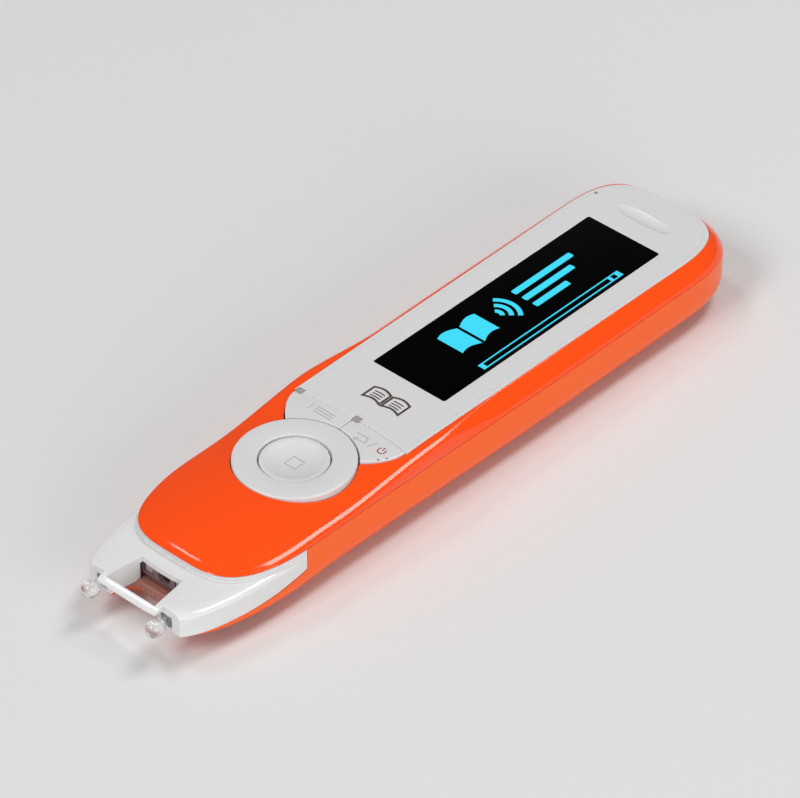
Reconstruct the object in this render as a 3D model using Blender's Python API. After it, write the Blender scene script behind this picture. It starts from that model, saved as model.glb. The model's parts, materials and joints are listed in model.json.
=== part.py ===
"""Handheld scanning pen with a clear reading nose, four-way ring, keys and a flush display.

Units are metres. The pen lies on its belly along X with the nose toward -X, and Z is up.
The origin is on the resting surface, under the middle of the pen's length.
"""
import math

import bmesh
import bpy
from mathutils import Matrix, Vector

MM = 0.001

# Whole pen
pen_length = 135.0 * MM
body_height = 13.2 * MM
rear_half_width = 15.0 * MM
waist = 0.75 * MM
seam_height = 10.1 * MM
seam_gap = 0.2 * MM
side_gap = 0.2 * MM
seat_gap = 0.3 * MM
wall = 1.4 * MM
overrun = 3.0 * MM
weld = 0.001 * MM
round_steps = 20
ring_steps = 52

# Plan outline, measured from the rear end
taper_start_from_rear = 41.0 * MM
taper_end_from_front = 29.5 * MM
rear_round_length = 15.5 * MM
casing_front_from_front = 13.25 * MM
nose_front_from_front = 2.2 * MM
lip_front_from_front = 4.4 * MM
step_from_front = 28.3 * MM
rear_power_shares = (2.9, 3.6)
casing_front_power_shares = (2.2, 3.85)
nose_power_shares = (2.1, 5.2)

# Upper casing crown and rounded edges
crown_start_from_front = 59.0 * MM
crown_full_from_front = 36.5 * MM
crown_drop = 2.15 * MM
dome_start_from_front = 32.0 * MM
dome_fall = 2.4 * MM
rear_edge_radius = 2.45 * MM
front_edge_radius = 1.1 * MM
tip_edge_radius = 0.5 * MM
deck_thickness = 1.1 * MM
deck_start_from_front = 50.5 * MM
deck_ramp_length = 3.0 * MM
inner_edge_radius = 0.1 * MM

# Belly
belly_radius = 5.9 * MM
belly_tip_radius = 1.0 * MM
belly_rise_from_front = 34.5 * MM
belly_rise = 4.3 * MM
belly_rise_power_share = 1.5
lower_cavity_front_from_front = 9.0 * MM
tongue_depth = 0.8 * MM
tongue_rise = 0.3 * MM
tongue_root = 1.2 * MM
tongue_root_slope = 1.0 * MM
tongue_room = 0.5 * MM
thin_wall = 0.35 * MM

# Face panel and display
panel_front_from_front = 54.65 * MM
panel_front_bow = 1.05 * MM
panel_rear_inset = 2.05 * MM
panel_side_inset = 2.3 * MM
panel_thickness = 1.2 * MM
panel_edge_radius = 0.22 * MM
small_chamfer = 0.12 * MM
display_width = 15.5 * MM
display_rear_margin = 14.5 * MM
display_front_margin = 12.7 * MM
display_corner_radius = 0.4 * MM
display_view_margin = 1.1 * MM
display_module_end_margin = 1.4 * MM
display_module_side_margin = 0.5 * MM
display_module_thickness = 1.5 * MM
dimple_from_rear = 8.9 * MM
dimple_length = 12.4 * MM
dimple_width = 3.0 * MM
dimple_depth = 0.35 * MM
pinhole_radius = 0.35 * MM
pinhole_from_rear = 8.65 * MM
pinhole_side_room = 3.8 * MM

# Ring, centre button and their rocker
ring_from_front = 40.5 * MM
ring_radius = 10.1 * MM
ring_proud = 0.15 * MM
ring_plate_thickness = 1.35 * MM
ring_edge_radius = 0.25 * MM
button_radius = 5.65 * MM
button_drop = 0.3 * MM
button_thickness = 1.4 * MM
button_dish_radius = 4.95 * MM
button_dish_depth = 0.8 * MM
button_travel = 0.4 * MM
ring_inner_gap = 0.3 * MM
ring_outer_gap = 0.25 * MM
skirt_inner_radius = 8.6 * MM
skirt_outer_radius = 9.6 * MM
skirt_below_pivot = 0.7 * MM
flange_radius = 10.9 * MM
flange_thickness = 0.6 * MM
flange_clearance = 0.5 * MM
pocket_height = 11.2 * MM
pocket_radius = 11.3 * MM
pivot_height = 9.9 * MM
carrier_inner_radius = 6.4 * MM
carrier_outer_radius = 8.2 * MM
carrier_thickness = 0.9 * MM
rocker_pin_radius = 0.3 * MM
rocker_pin_clearance = 0.1 * MM
rocker_pin_length = 0.8 * MM
post_ear_radius = 5.6 * MM
post_ear_size = 0.9 * MM
post_ring_inner_radius = 3.2 * MM
post_ring_thickness = 0.7 * MM
post_leg_radius = 0.7 * MM
stem_radius = 0.7 * MM
stem_rest_gap = 0.35 * MM
press_rest_gap = 0.45 * MM

# Menu and back keys
key_side_room = 3.1 * MM
key_bulge = 4.05 * MM
key_meet_side = 8.1 * MM
key_plate_thickness = 1.3 * MM
key_tongue_length = 1.8 * MM
key_tongue_thickness = 0.6 * MM
key_tongue_width = 5.0 * MM
key_post_width = 3.0 * MM
key_post_length = 1.6 * MM
key_stem_side = 7.0 * MM
light_window_size = 1.3 * MM
light_window_side_room = 3.7 * MM
light_window_middle_side = -0.48 * MM
light_window_length = 3.6 * MM

# Clear nose
nose_top_height = 9.1 * MM
nose_edge_radius = 0.9 * MM
nose_collar_offset = 0.5 * MM
nose_roof_thickness = 1.0 * MM
nose_front_wall_from_front = 10.0 * MM
step_bottom = 6.1 * MM
lip_height = 4.7 * MM
step_fade_length = 13.0 * MM
mouth_rear_from_front = 10.6 * MM
mouth_front_from_front = 3.45 * MM
mouth_rear_half_width = 4.36 * MM
mouth_front_half_width = 5.3 * MM
mouth_rear_bow = 0.3 * MM
bar_depth = 0.9 * MM
notch_back_from_front = 4.2 * MM
notch_inner_side = 6.3 * MM
notch_outer_side = 8.9 * MM
cheek_web = 0.5 * MM
lip_notch_from_front = 9.5 * MM
lip_notch_half_width = 5.9 * MM
lip_notch_corner_radius = 2.0 * MM
ridge_half_width = 4.0 * MM
ridge_width = 0.8 * MM
ridge_rise = 0.55 * MM
ridge_from_front = 10.3 * MM

# Tip yoke, its spring and switch
foot_radius = 1.48 * MM
foot_side = 7.0 * MM
foot_height = 6.65 * MM
foot_neck_radius = 0.75 * MM
yoke_arm_width = 1.9 * MM
yoke_arm_thickness = 1.8 * MM
yoke_arm_front_from_front = 4.0 * MM
yoke_bar_from_front = 14.0 * MM
yoke_bar_depth = 1.4 * MM
yoke_bar_height = 1.1 * MM
yoke_drop = 1.5 * MM
yoke_travel = 0.8 * MM
spring_side = 6.0 * MM
spring_radius = 0.75 * MM
spring_wire_radius = 0.14 * MM
spring_turns = 5
spring_length = 3.6 * MM
spring_peg_length = 1.0 * MM
spring_peg_radius = 0.4 * MM
spring_seat_thickness = 1.0 * MM
switch_length = 3.6 * MM
switch_width = 3.0 * MM
switch_height = 1.8 * MM
plunger_radius = 0.4 * MM
plunger_length = 0.6 * MM

# Camera and lamps
camera_from_front = 21.0 * MM
camera_height = 7.7 * MM
camera_length = 5.5 * MM
camera_radius = 2.1 * MM
camera_bore_radius = 1.5 * MM
camera_lens_thickness = 1.4 * MM
sensor_board_thickness = 0.8 * MM
sensor_board_width = 9.0 * MM
sensor_board_height = 5.0 * MM
baffle_front_from_front = 10.8 * MM
baffle_thickness = 0.8 * MM
baffle_half_width = 4.9 * MM
baffle_low = 5.6 * MM
lamp_side = 3.3 * MM
lamp_width = 1.6 * MM
lamp_length = 1.6 * MM
lamp_height = 1.2 * MM
aperture_radius = 1.3 * MM
aperture_height = 7.0 * MM

# Board, battery and small inner parts
board_height = 5.4 * MM
board_thickness = 1.0 * MM
board_front_from_front = 31.5 * MM
board_step_from_rear = 17.5 * MM
board_rear_from_rear = 5.2 * MM
board_side_room = 3.0 * MM
board_rear_side_room = 7.2 * MM
board_notch_from_rear = 9.2 * MM
board_notch_side = 1.8 * MM
board_rest_width = 1.6 * MM
battery_front_from_front = 70.0 * MM
battery_rear_from_rear = 20.0 * MM
battery_side_room = 4.5 * MM
battery_edge_radius = 0.8 * MM
processor_from_front = 76.0 * MM
processor_size = 11.0 * MM
memory_from_front = 92.0 * MM
memory_length = 12.0 * MM
memory_width = 9.0 * MM
chip_height = 1.2 * MM
sheet_thickness = 0.3 * MM
sheet_front_from_front = 30.2 * MM
sheet_rear_from_front = 56.0 * MM
sheet_side_margin = 0.8 * MM
snap_radius = 1.6 * MM
snap_rise = 0.5 * MM
snap_shoulder_shares = (0.7, 0.3)
ribbon_width = 7.0 * MM
ribbon_thickness = 0.3 * MM
ribbon_bulge = 1.6 * MM
speaker_from_rear = 11.6 * MM
speaker_length = 8.0 * MM
speaker_side_room = 8.0 * MM
speaker_height = 2.6 * MM
grille_slots = 5
grille_slot_length = 8.0 * MM
grille_slot_width = 0.8 * MM
grille_pitch = 1.6 * MM
microphone_radius = 1.0 * MM
microphone_height = 0.9 * MM

# Rear sockets
data_socket_side = -4.4 * MM
data_socket_width = 7.5 * MM
data_socket_height = 2.6 * MM
data_socket_length = 5.2 * MM
data_socket_wall = 0.35 * MM
data_tongue_thickness = 0.5 * MM
data_tongue_share = 0.8
socket_recess = 0.45 * MM
earphone_side = 4.6 * MM
earphone_radius = 2.2 * MM
earphone_bore_radius = 1.75 * MM
earphone_length = 7.0 * MM
earphone_height = 6.7 * MM
earphone_body_half = 2.0 * MM

# Casing screws
front_screw_from_front = 24.5 * MM
front_screw_side_room = 6.3 * MM
rear_screw_from_rear = 13.0 * MM
rear_screw_side_room = 4.6 * MM
screw_shaft_radius = 0.7 * MM
screw_head_radius = 1.3 * MM
screw_head_height = 0.9 * MM
screw_slot_width = 0.35 * MM
screw_slot_share = 0.62
screw_recess = 0.3 * MM
boss_radius = 1.9 * MM
boss_split_height = 6.9 * MM
screw_bite = 2.4 * MM

# Places worked out from the sizes above
rear_x = pen_length / 2
front_x = -pen_length / 2
front_half_width = rear_half_width - waist
taper_start_x = rear_x - taper_start_from_rear
taper_end_x = front_x + taper_end_from_front
crown_start_x = front_x + crown_start_from_front
crown_full_x = front_x + crown_full_from_front
dome_start_x = front_x + dome_start_from_front
deck_start_x = front_x + deck_start_from_front
casing_front_x = front_x + casing_front_from_front
nose_front_x = front_x + nose_front_from_front
lip_front_x = front_x + lip_front_from_front
cavity_front_x = front_x + lower_cavity_front_from_front
belly_rise_x = front_x + belly_rise_from_front
panel_bottom = body_height - panel_thickness
deck_top = panel_bottom - seat_gap
deck_bottom = deck_top - deck_thickness
upper_bottom = seam_height + seam_gap / 2
lower_top = seam_height - seam_gap / 2
board_top = board_height + board_thickness
sheet_top = board_top + seat_gap + sheet_thickness
snap_top = sheet_top + snap_rise
ring_x = front_x + ring_from_front
ring_top = body_height + ring_proud
step_x = front_x + step_from_front
collar_top = upper_bottom - seat_gap
roof_bottom = nose_top_height - nose_roof_thickness
panel_front_x = front_x + panel_front_from_front
display_rear_x = rear_x - display_rear_margin
display_length = display_rear_x - panel_front_x - display_front_margin
lens_x = display_rear_x - display_length / 2
key_rear_x = panel_front_x - side_gap
foot_x = front_x + foot_radius
panel_half_width = rear_half_width - panel_side_inset
key_outer_side = rear_half_width - key_side_room
light_window_side = rear_half_width - light_window_side_room
pinhole_x = rear_x - pinhole_from_rear
pinhole_side = rear_half_width - pinhole_side_room
sheet_half_width = ring_radius + sheet_side_margin
board_half_width = rear_half_width - board_side_room
board_rear_half_width = rear_half_width - board_rear_side_room
battery_half_width = rear_half_width - battery_side_room
speaker_half_width = rear_half_width - speaker_side_room
screw_places = ((front_x + front_screw_from_front, rear_half_width - front_screw_side_room),
                (rear_x - rear_screw_from_rear, rear_half_width - rear_screw_side_room))

materials = {}


def finish(name, colour, roughness, metallic=0.0, alpha=1.0, transmission=0.0):
    """One Principled material, kept under its name."""
    if name in materials:
        return materials[name]
    material = bpy.data.materials.new(name)
    material.use_nodes = True
    shader = material.node_tree.nodes["Principled BSDF"]
    shader.inputs["Base Color"].default_value = (*colour, 1.0)
    shader.inputs["Roughness"].default_value = roughness
    shader.inputs["Metallic"].default_value = metallic
    shader.inputs["Alpha"].default_value = alpha
    shader.inputs["Transmission Weight"].default_value = transmission
    material.diffuse_color = (*colour, alpha)
    materials[name] = material
    return material


def orange():
    return finish("orange_casing", (0.95, 0.08, 0.012), 0.35)


def pale():
    return finish("pale_plastic", (0.68, 0.68, 0.68), 0.4)


def clear():
    return finish("clear_plastic", (0.8, 0.8, 0.8), 0.12, transmission=0.8)


def dark():
    return finish("dark_plastic", (0.02, 0.018, 0.018), 0.3)


def steel():
    return finish("steel", (0.6, 0.6, 0.6), 0.3, metallic=1.0)


def board_green():
    return finish("circuit_board", (0.02, 0.16, 0.06), 0.5)


def from_bmesh(name, shape):
    """An object that holds the shape, with its faces pointing out."""
    bmesh.ops.recalc_face_normals(shape, faces=shape.faces)
    mesh = bpy.data.meshes.new(name)
    shape.to_mesh(mesh)
    shape.free()
    item = bpy.data.objects.new(name, mesh)
    bpy.context.scene.collection.objects.link(item)
    return item


def block(low, high):
    """A box between two corners."""
    shape = bmesh.new()
    bmesh.ops.create_cube(shape, size=1.0)
    size = Vector(high) - Vector(low)
    centre = (Vector(high) + Vector(low)) / 2
    for vertex in shape.verts:
        vertex.co = centre + Vector(a * b for a, b in zip(vertex.co, size))
    return from_bmesh("block", shape)


def plate(outline, low, high):
    """A flat plate whose outline runs through (x, y) points, between two heights."""
    shape = bmesh.new()
    base = shape.faces.new([shape.verts.new((x, y, low)) for x, y in outline])
    grown = bmesh.ops.extrude_face_region(shape, geom=[base])
    top = [v for v in grown["geom"] if isinstance(v, bmesh.types.BMVert)]
    bmesh.ops.translate(shape, verts=top, vec=(0, 0, high - low))
    return from_bmesh("plate", shape)


def side_plate(outline, low, high):
    """A plate whose outline runs through (x, z) points, between two places across the pen."""
    item = plate(outline, low, high)
    for vertex in item.data.vertices:
        x, z, y = vertex.co
        vertex.co = (x, y, z)
    item.data.flip_normals()
    return item


def turned(profile, centre, steps):
    """A closed (radius, height) profile turned about a vertical line through the centre."""
    shape = bmesh.new()
    u, v = math.cos(math.pi / steps), math.sin(math.pi / steps)
    points = [shape.verts.new((centre[0] + r * u, centre[1] + r * v, z)) for r, z in profile]
    edges = [shape.edges.new((a, b)) for a, b in zip(points, points[1:] + points[:1])]
    bmesh.ops.spin(shape, geom=points + edges, cent=(centre[0], centre[1], 0), axis=(0, 0, 1),
                   angle=math.tau, steps=steps, use_merge=True, use_duplicate=False)
    bmesh.ops.remove_doubles(shape, verts=shape.verts, dist=weld)
    return from_bmesh("turned", shape)


def rod(start, end, radius, steps=round_steps, end_radius=None):
    """A round bar or cone between two points."""
    start, end = Vector(start), Vector(end)
    shape = bmesh.new()
    last = radius if end_radius is None else end_radius
    turn = (end - start).to_track_quat("Z", "Y").to_matrix().to_4x4()
    place = Matrix.Translation((start + end) / 2) @ turn @ Matrix.Rotation(math.pi / steps, 4, "Z")
    bmesh.ops.create_cone(shape, cap_ends=True, segments=steps, radius1=radius, radius2=last,
                          depth=(end - start).length, matrix=place)
    return from_bmesh("rod", shape)


def ball(centre, radius, steps=round_steps):
    """A sphere with its poles along X."""
    shape = bmesh.new()
    place = Matrix.Translation(centre) @ Matrix.Rotation(math.pi / 2, 4, "Y")
    bmesh.ops.create_uvsphere(shape, u_segments=steps, v_segments=steps // 2, radius=radius,
                              matrix=place)
    return from_bmesh("ball", shape)


def combine(target, tools, operation):
    """Join, cut or keep the overlap with each tool, which is used up."""
    for tool in tools:
        modifier = target.modifiers.new(operation.lower(), "BOOLEAN")
        modifier.operation = operation
        modifier.solver = "EXACT"
        modifier.object = tool
        bpy.context.view_layer.objects.active = target
        bpy.ops.object.modifier_apply(modifier=modifier.name)
        bpy.data.objects.remove(tool)
    return target


def join(target, *tools):
    return combine(target, tools, "UNION")


def cut(target, *tools):
    return combine(target, tools, "DIFFERENCE")


def keep(target, *tools):
    return combine(target, tools, "INTERSECT")


def chamfer(item, width, steps=1, angle=math.radians(40)):
    """Bevel the sharp edges and apply it."""
    modifier = item.modifiers.new("edges", "BEVEL")
    modifier.width = width
    modifier.segments = steps
    modifier.limit_method = "ANGLE"
    modifier.angle_limit = angle
    modifier.use_clamp_overlap = True
    bpy.context.view_layer.objects.active = item
    bpy.ops.object.modifier_apply(modifier=modifier.name)
    return item


def part(name, item, material, origin=(0, 0, 0), round_angle=None):
    """Name the piece, give it its material and set its origin, without moving it."""
    item.name = name
    item.data.name = name
    item.data.materials.clear()
    item.data.materials.append(material)
    item.data.transform(Matrix.Translation(-Vector(origin)))
    item.location = origin
    if round_angle is not None:
        item.data.shade_smooth()
        item.data.set_sharp_from_angle(angle=round_angle)
    return item


def smooth(share):
    """A soft step from 0 to 1."""
    share = min(max(share, 0.0), 1.0)
    return share * share * (3 - 2 * share)


def along(x, start_x, end_x):
    """The share of the way between two places."""
    return (x - start_x) / (end_x - start_x)


def half_width(x):
    """The body's half width between its rounded ends."""
    share = smooth(along(x, taper_start_x, taper_end_x))
    return rear_half_width + (front_half_width - rear_half_width) * share


def round_end(centre_x, reach, half, powers, steps):
    """Points and outward normals of a rounded end, from its tip to its full width."""
    points = []
    for step in range(steps + 1):
        angle = math.pi / 2 * step / steps
        u = math.cos(angle) ** (2 / powers[0]) if step < steps else 0.0
        v = math.sin(angle) ** (2 / powers[1])
        slope = Vector((powers[0] * u ** (powers[0] - 1) / reach,
                        powers[1] * v ** (powers[1] - 1) / half))
        points.append((centre_x + reach * u, half * v, slope.normalized()))
    return points


def outline(tip_x, front_powers, inset=0.0, sides=6, steps=10):
    """Half the plan outline from the rear tip to the front tip, moved inwards by the inset."""
    rear = round_end(rear_x - rear_round_length, rear_round_length, rear_half_width,
                     rear_power_shares, steps)
    front = round_end(0, taper_end_x - tip_x, front_half_width, front_powers, steps)
    points = list(rear)
    for step in range(1, sides):
        x = rear[-1][0] + (taper_end_x - rear[-1][0]) * step / sides
        points.append((x, half_width(x), Vector((0, 1))))
    points += [(taper_end_x - x, y, Vector((-n.x, n.y))) for x, y, n in reversed(front)]
    return [(x - n.x * inset, max(y - n.y * inset, 0.0), n) for x, y, n in points]


def top_height(x, y):
    """The upper casing's outer surface, without its rounded edge."""
    fall = max(0.0, along(x, dome_start_x, casing_front_x))
    crown = smooth(along(x, crown_start_x, crown_full_x))
    return body_height - dome_fall * fall ** 2 - crown_drop * crown * (y / front_half_width) ** 2


def edge_radius(x):
    """The rounded top edge, full at the rear and small at the front."""
    share = smooth(along(x, crown_start_x, crown_full_x))
    radius = rear_edge_radius + (front_edge_radius - rear_edge_radius) * share
    tip = max(0.0, along(x, step_x, casing_front_x))
    return radius + (tip_edge_radius - front_edge_radius) * tip


def roof_depth(x):
    """From the outer surface down to the ceiling: the wall, and more under the face panel."""
    share = smooth((x - deck_start_x) / deck_ramp_length)
    return wall + (body_height - deck_bottom - wall) * share


def ceiling_height(x, y):
    """The upper casing's inside, kept clear of the lower casing's tongue."""
    top = top_height(x, y)
    if x < step_x - overrun:
        return top - roof_depth(x)
    return max(top - roof_depth(x), min(upper_bottom + tongue_room, top - thin_wall))


def belly_height(x):
    """The underside, which rises toward the nose."""
    share = max(0.0, along(x, belly_rise_x, nose_front_x))
    return belly_rise * share ** belly_rise_power_share


def belly_round(x):
    share = min(max(along(x, belly_rise_x, lip_front_x), 0.0), 1.0)
    return belly_radius + (belly_tip_radius - belly_radius) * share


def mirrored(name, columns):
    """A closed solid from half columns that run from centre line to centre line."""
    shape = bmesh.new()
    sides = []
    for sign in (1, -1):
        sides.append([[shape.verts.new((x, y * sign, z)) for x, y, z in column]
                      for column in columns])
    for grid in sides:
        for near, far in zip(grid, grid[1:]):
            for a, b, c, d in zip(near, near[1:], far[1:], far):
                shape.faces.new((a, b, c, d))
    bmesh.ops.remove_doubles(shape, verts=shape.verts, dist=weld)
    bmesh.ops.triangulate(shape, faces=shape.faces)
    return from_bmesh(name, shape)


def rounded_top(points, bottom, height, radius, arcs=4, rungs=(0.75, 0.4, 0.0)):
    """Half columns of a flat-bottomed solid whose top follows a height with rounded edges."""
    columns = []
    for x, y, normal in points:
        r = radius(x)
        inner_x = x - normal.x * r
        inner_y = max(y - normal.y * r, 0.0)
        reach = r / arcs
        slope = (height(inner_x - normal.x * reach, inner_y - normal.y * reach)
                 - height(inner_x, inner_y)) / reach
        start = math.pi / 2 - math.atan(slope)
        inset = r * (1 - math.cos(start))
        top = (x - normal.x * inset, max(y - normal.y * inset, 0.0))
        middle = height(*top) - r * math.sin(start)
        column = [(x, 0.0, bottom), (x, y, bottom)]
        for arc in range(arcs + 1):
            angle = start * arc / arcs
            inset = r * (1 - math.cos(angle))
            column.append((x - normal.x * inset, max(y - normal.y * inset, 0.0),
                           middle + r * math.sin(angle)))
        column += [(top[0], top[1] * rung, height(top[0], top[1] * rung)) for rung in rungs]
        columns.append(column)
    return columns


def rounded_bottom(points, top, height, radius, arcs=4, rungs=(0.0,)):
    """Half columns of a flat-topped solid whose underside follows a height."""
    columns = []
    for x, y, normal in points:
        r = radius(x)
        low = (x - normal.x * r, max(y - normal.y * r, 0.0))
        middle = height(low[0]) + r
        column = [(x, 0.0, top), (x, y, top)]
        for arc in range(arcs + 1):
            angle = math.pi / 2 * arc / arcs
            inset = r * (1 - math.cos(angle))
            column.append((x - normal.x * inset, max(y - normal.y * inset, 0.0),
                           middle - r * math.sin(angle)))
        column += [(low[0], low[1] * rung, height(low[0])) for rung in rungs]
        columns.append(column)
    return columns


def hollow(outer, inner, rims=None):
    """Half columns of a shell, from the centre of its inside round its rim to the outside."""
    rims = rims or [[]] * len(outer)
    return [list(reversed(b[1:])) + rim + a[1:] for a, b, rim in zip(outer, inner, rims)]


def closed_outline(points):
    """Both sides of a half outline as one list of (x, y) points."""
    half = [(x, y) for x, y, _ in points]
    return half + [(x, -y) for x, y in reversed(half[1:-1])]


def tongue_columns():
    """The lower casing's rim, which stands up just inside the upper casing's wall."""
    top = lower_top + seam_gap + tongue_rise
    outer = outline(casing_front_x, casing_front_power_shares, wall + side_gap)
    inner = outline(casing_front_x, casing_front_power_shares, wall + side_gap + tongue_depth)
    return [[(b[0], b[1], lower_top - tongue_root), (b[0], b[1], top), (a[0], a[1], top),
             (a[0], a[1], lower_top)] for a, b in zip(outer, inner)]


def bowed(x, y):
    """A place on the joint between the panel and the keys, which bends forward at its sides."""
    return x - panel_front_bow * (y / panel_half_width) ** 2, y


def panel_outline(grow=0.0):
    """The face panel: a rounded rear end and a bowed front edge."""
    centre = rear_x - rear_round_length
    reach = rear_round_length - panel_rear_inset + grow
    half = panel_half_width + grow
    points = [(x, y) for x, y, _ in round_end(centre, reach, half, rear_power_shares, 12)]
    front_side = half_width(panel_front_x) - panel_side_inset + grow
    for step in range(7):
        points.append(bowed(panel_front_x - grow, front_side * (1 - step / 6)))
    return points + [(x, -y) for x, y in reversed(points) if y > weld]


def slot_outline(x, y, length, width, across=True, steps=6):
    """A long hole with round ends, lying across or along the pen."""
    points = []
    for end in (1, -1):
        for step in range(steps + 1):
            angle = math.pi * (step / steps - 0.5) + (0 if end > 0 else math.pi)
            u = end * (length - width) / 2 + width / 2 * math.cos(angle)
            v = width / 2 * math.sin(angle)
            points.append((x - v, y + u) if across else (x + u, y + v))
    return points


def rounded_box_outline(x, y, length, width, radius, steps=3):
    """A rectangle with rounded corners."""
    points = []
    for quarter, (sx, sy) in enumerate(((1, 1), (-1, 1), (-1, -1), (1, -1))):
        for step in range(steps + 1):
            angle = math.pi / 2 * (quarter + step / steps)
            points.append((x + sx * (length / 2 - radius) + radius * math.cos(angle),
                           y + sy * (width / 2 - radius) + radius * math.sin(angle)))
    return points


def key_outline(grow=0.0, inner=0.0):
    """One key between the panel, the ring and the casing, on the +Y side."""
    radius = ring_radius + ring_outer_gap - grow
    meet = key_meet_side + grow
    meet_x = ring_x + math.sqrt(radius ** 2 - meet ** 2)
    start = Vector(bowed(key_rear_x + grow, key_outer_side + grow))
    bend = Vector((key_rear_x - key_bulge, key_outer_side + grow))
    end = Vector((meet_x, meet))
    points = [bowed(key_rear_x + grow, inner + (start.y - inner) * step / 5)
              for step in range(5)]
    for step in range(9):
        t = step / 8
        place = start * (1 - t) ** 2 + bend * 2 * t * (1 - t) + end * t ** 2
        points.append((place.x, place.y))
    first = math.asin(meet / radius)
    last = math.asin(inner / radius)
    for step in range(1, 11):
        angle = first + (last - first) * step / 10
        points.append((ring_x + radius * math.cos(angle), radius * math.sin(angle)))
    return points


def step_line(x):
    """The height of the joint between the clear nose and the lower casing."""
    share = min(max((step_x - x) / step_fade_length, 0.0), 1.0)
    return lip_height + (step_bottom - lip_height) * (1 - share) ** 2


def nose_room(shift, low_shift, top):
    """The side profile in front of the step, above the joint line."""
    start = step_x + shift
    end = front_x - overrun
    steps = 10
    places = [start + (end - start) * step / steps for step in range(steps + 1)]
    line = [(x, step_line(x) + low_shift) for x in places]
    return line + [(end, top), (start, top)]


def screw_centres():
    """Both sides of each pair of screws, front pair first."""
    return [(x, sign * side) for x, side in screw_places for sign in (1, -1)]


# Casings
def make_upper_casing():
    edge = outline(casing_front_x, casing_front_power_shares)
    outer = rounded_top(edge, upper_bottom, top_height, edge_radius)
    room = rounded_top(outline(casing_front_x, casing_front_power_shares, wall),
                       upper_bottom, ceiling_height, lambda x: inner_edge_radius, arcs=1)
    casing = mirrored("upper_casing", hollow(outer, room))
    bosses = []
    for x, y in screw_centres():
        ceiling = top_height(x, y) - wall / 2
        bosses.append(rod((x, y, boss_split_height + seat_gap), (x, y, ceiling), boss_radius))
    join(casing, *bosses)
    for x, y in screw_centres():
        hole = rod((x, y, boss_split_height - overrun),
                   (x, y, boss_split_height + screw_bite + 2 * seat_gap),
                   screw_shaft_radius + side_gap, 14)
        cut(casing, hole)
    cut(casing, plate(panel_outline(side_gap), deck_top, body_height + overrun))
    view = rounded_box_outline(lens_x, 0, display_length - 2 * display_view_margin,
                               display_width - 2 * display_view_margin, display_corner_radius)
    cut(casing, plate(view, deck_bottom - overrun, deck_top + overrun))
    well = rod((ring_x, 0, upper_bottom - overrun), (ring_x, 0, ring_top + overrun),
               ring_radius + ring_outer_gap, ring_steps)
    pocket = rod((ring_x, 0, upper_bottom - overrun), (ring_x, 0, pocket_height),
                 pocket_radius, ring_steps)
    keys = [(x, y) for x, y in key_outline(side_gap) if y > 0]
    keys += [(x, -y) for x, y in reversed(keys)]
    key_room = plate(keys, upper_bottom - overrun, body_height + overrun)
    cut(casing, well, pocket, key_room)
    mic_hole = rod((pinhole_x, pinhole_side, deck_bottom - overrun),
                   (pinhole_x, pinhole_side, body_height), pinhole_radius, 12)
    cut(casing, mic_hole, *window_rooms(upper_bottom))
    return part("upper_casing", casing, orange(), round_angle=math.radians(30))


def make_lower_casing():
    edge = outline(lip_front_x, nose_power_shares)
    outer = rounded_bottom(edge, lower_top, belly_height, belly_round)
    room = rounded_bottom(outline(cavity_front_x, casing_front_power_shares, wall),
                          lower_top - tongue_root - tongue_root_slope,
                          lambda x: belly_height(x) + wall,
                          lambda x: max(belly_round(x) - wall, inner_edge_radius), arcs=3,
                          rungs=(0.0,))
    casing = mirrored("lower_casing", hollow(outer, room, tongue_columns()))
    bosses = []
    for x, y in screw_centres():
        floor = belly_height(x) + wall / 2
        bosses.append(rod((x, y, floor), (x, y, boss_split_height), boss_radius))
    join(casing, *bosses)
    join(casing, *board_rests(), make_spring_seat(), make_battery_stop())
    nose_cutter = side_plate(nose_room(0.0, -seam_gap / 2, lower_top + overrun),
                             -rear_half_width - overrun, rear_half_width + overrun)
    cut(casing, nose_cutter)
    join(casing, block((front_x + ridge_from_front - ridge_width, -ridge_half_width, lip_height
                        - seam_gap - ridge_width),
                       (front_x + ridge_from_front, ridge_half_width, lip_height + ridge_rise)))
    mouth_front = front_x + lip_front_from_front - overrun
    mouth_back = front_x + lip_notch_from_front
    notch = rounded_box_outline((mouth_front + mouth_back) / 2, 0, mouth_back - mouth_front,
                                2 * lip_notch_half_width, lip_notch_corner_radius, 5)
    cut(casing, plate(notch, -overrun, lower_top))
    cut(casing, *screw_holes(), *socket_openings(), *speaker_slots())
    return part("lower_casing", casing, orange(), round_angle=math.radians(30))


def board_rests():
    """Four short pillars that carry the main board."""
    rests = []
    for x in (front_x + board_front_from_front + board_rest_width,
              rear_x - board_step_from_rear - board_rest_width):
        for sign in (1, -1):
            y = sign * (board_half_width - board_rest_width)
            rests.append(rod((x, y, wall / 2), (x, y, board_height - seat_gap),
                             board_rest_width / 2, 14))
    return rests


def make_spring_seat():
    """The rib that the tip spring pushes against, with its peg."""
    x = spring_rear_x() + seat_gap
    low = belly_height(x) + wall / 2
    rib = block((x, spring_side - 2 * spring_radius, low),
                (x + spring_seat_thickness, spring_side + 2 * spring_radius,
                 spring_height() + 2 * spring_radius))
    peg = rod((x + spring_seat_thickness / 2, spring_side, spring_height()),
              (x - spring_peg_length, spring_side, spring_height()), spring_peg_radius, 10)
    return join(rib, peg)


def make_battery_stop():
    """The low rib in front of the battery."""
    x = front_x + battery_front_from_front - seat_gap
    return block((x - wall, -battery_half_width, wall / 2),
                 (x, battery_half_width, wall + seat_gap + wall))


def screw_holes():
    tools = []
    for x, y in screw_centres():
        tools.append(rod((x, y, -overrun), (x, y, seam_height), screw_shaft_radius + side_gap, 14))
        tools.append(rod((x, y, -overrun), (x, y, head_top(x) + side_gap),
                         screw_head_radius + side_gap, 20))
    return tools


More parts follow.
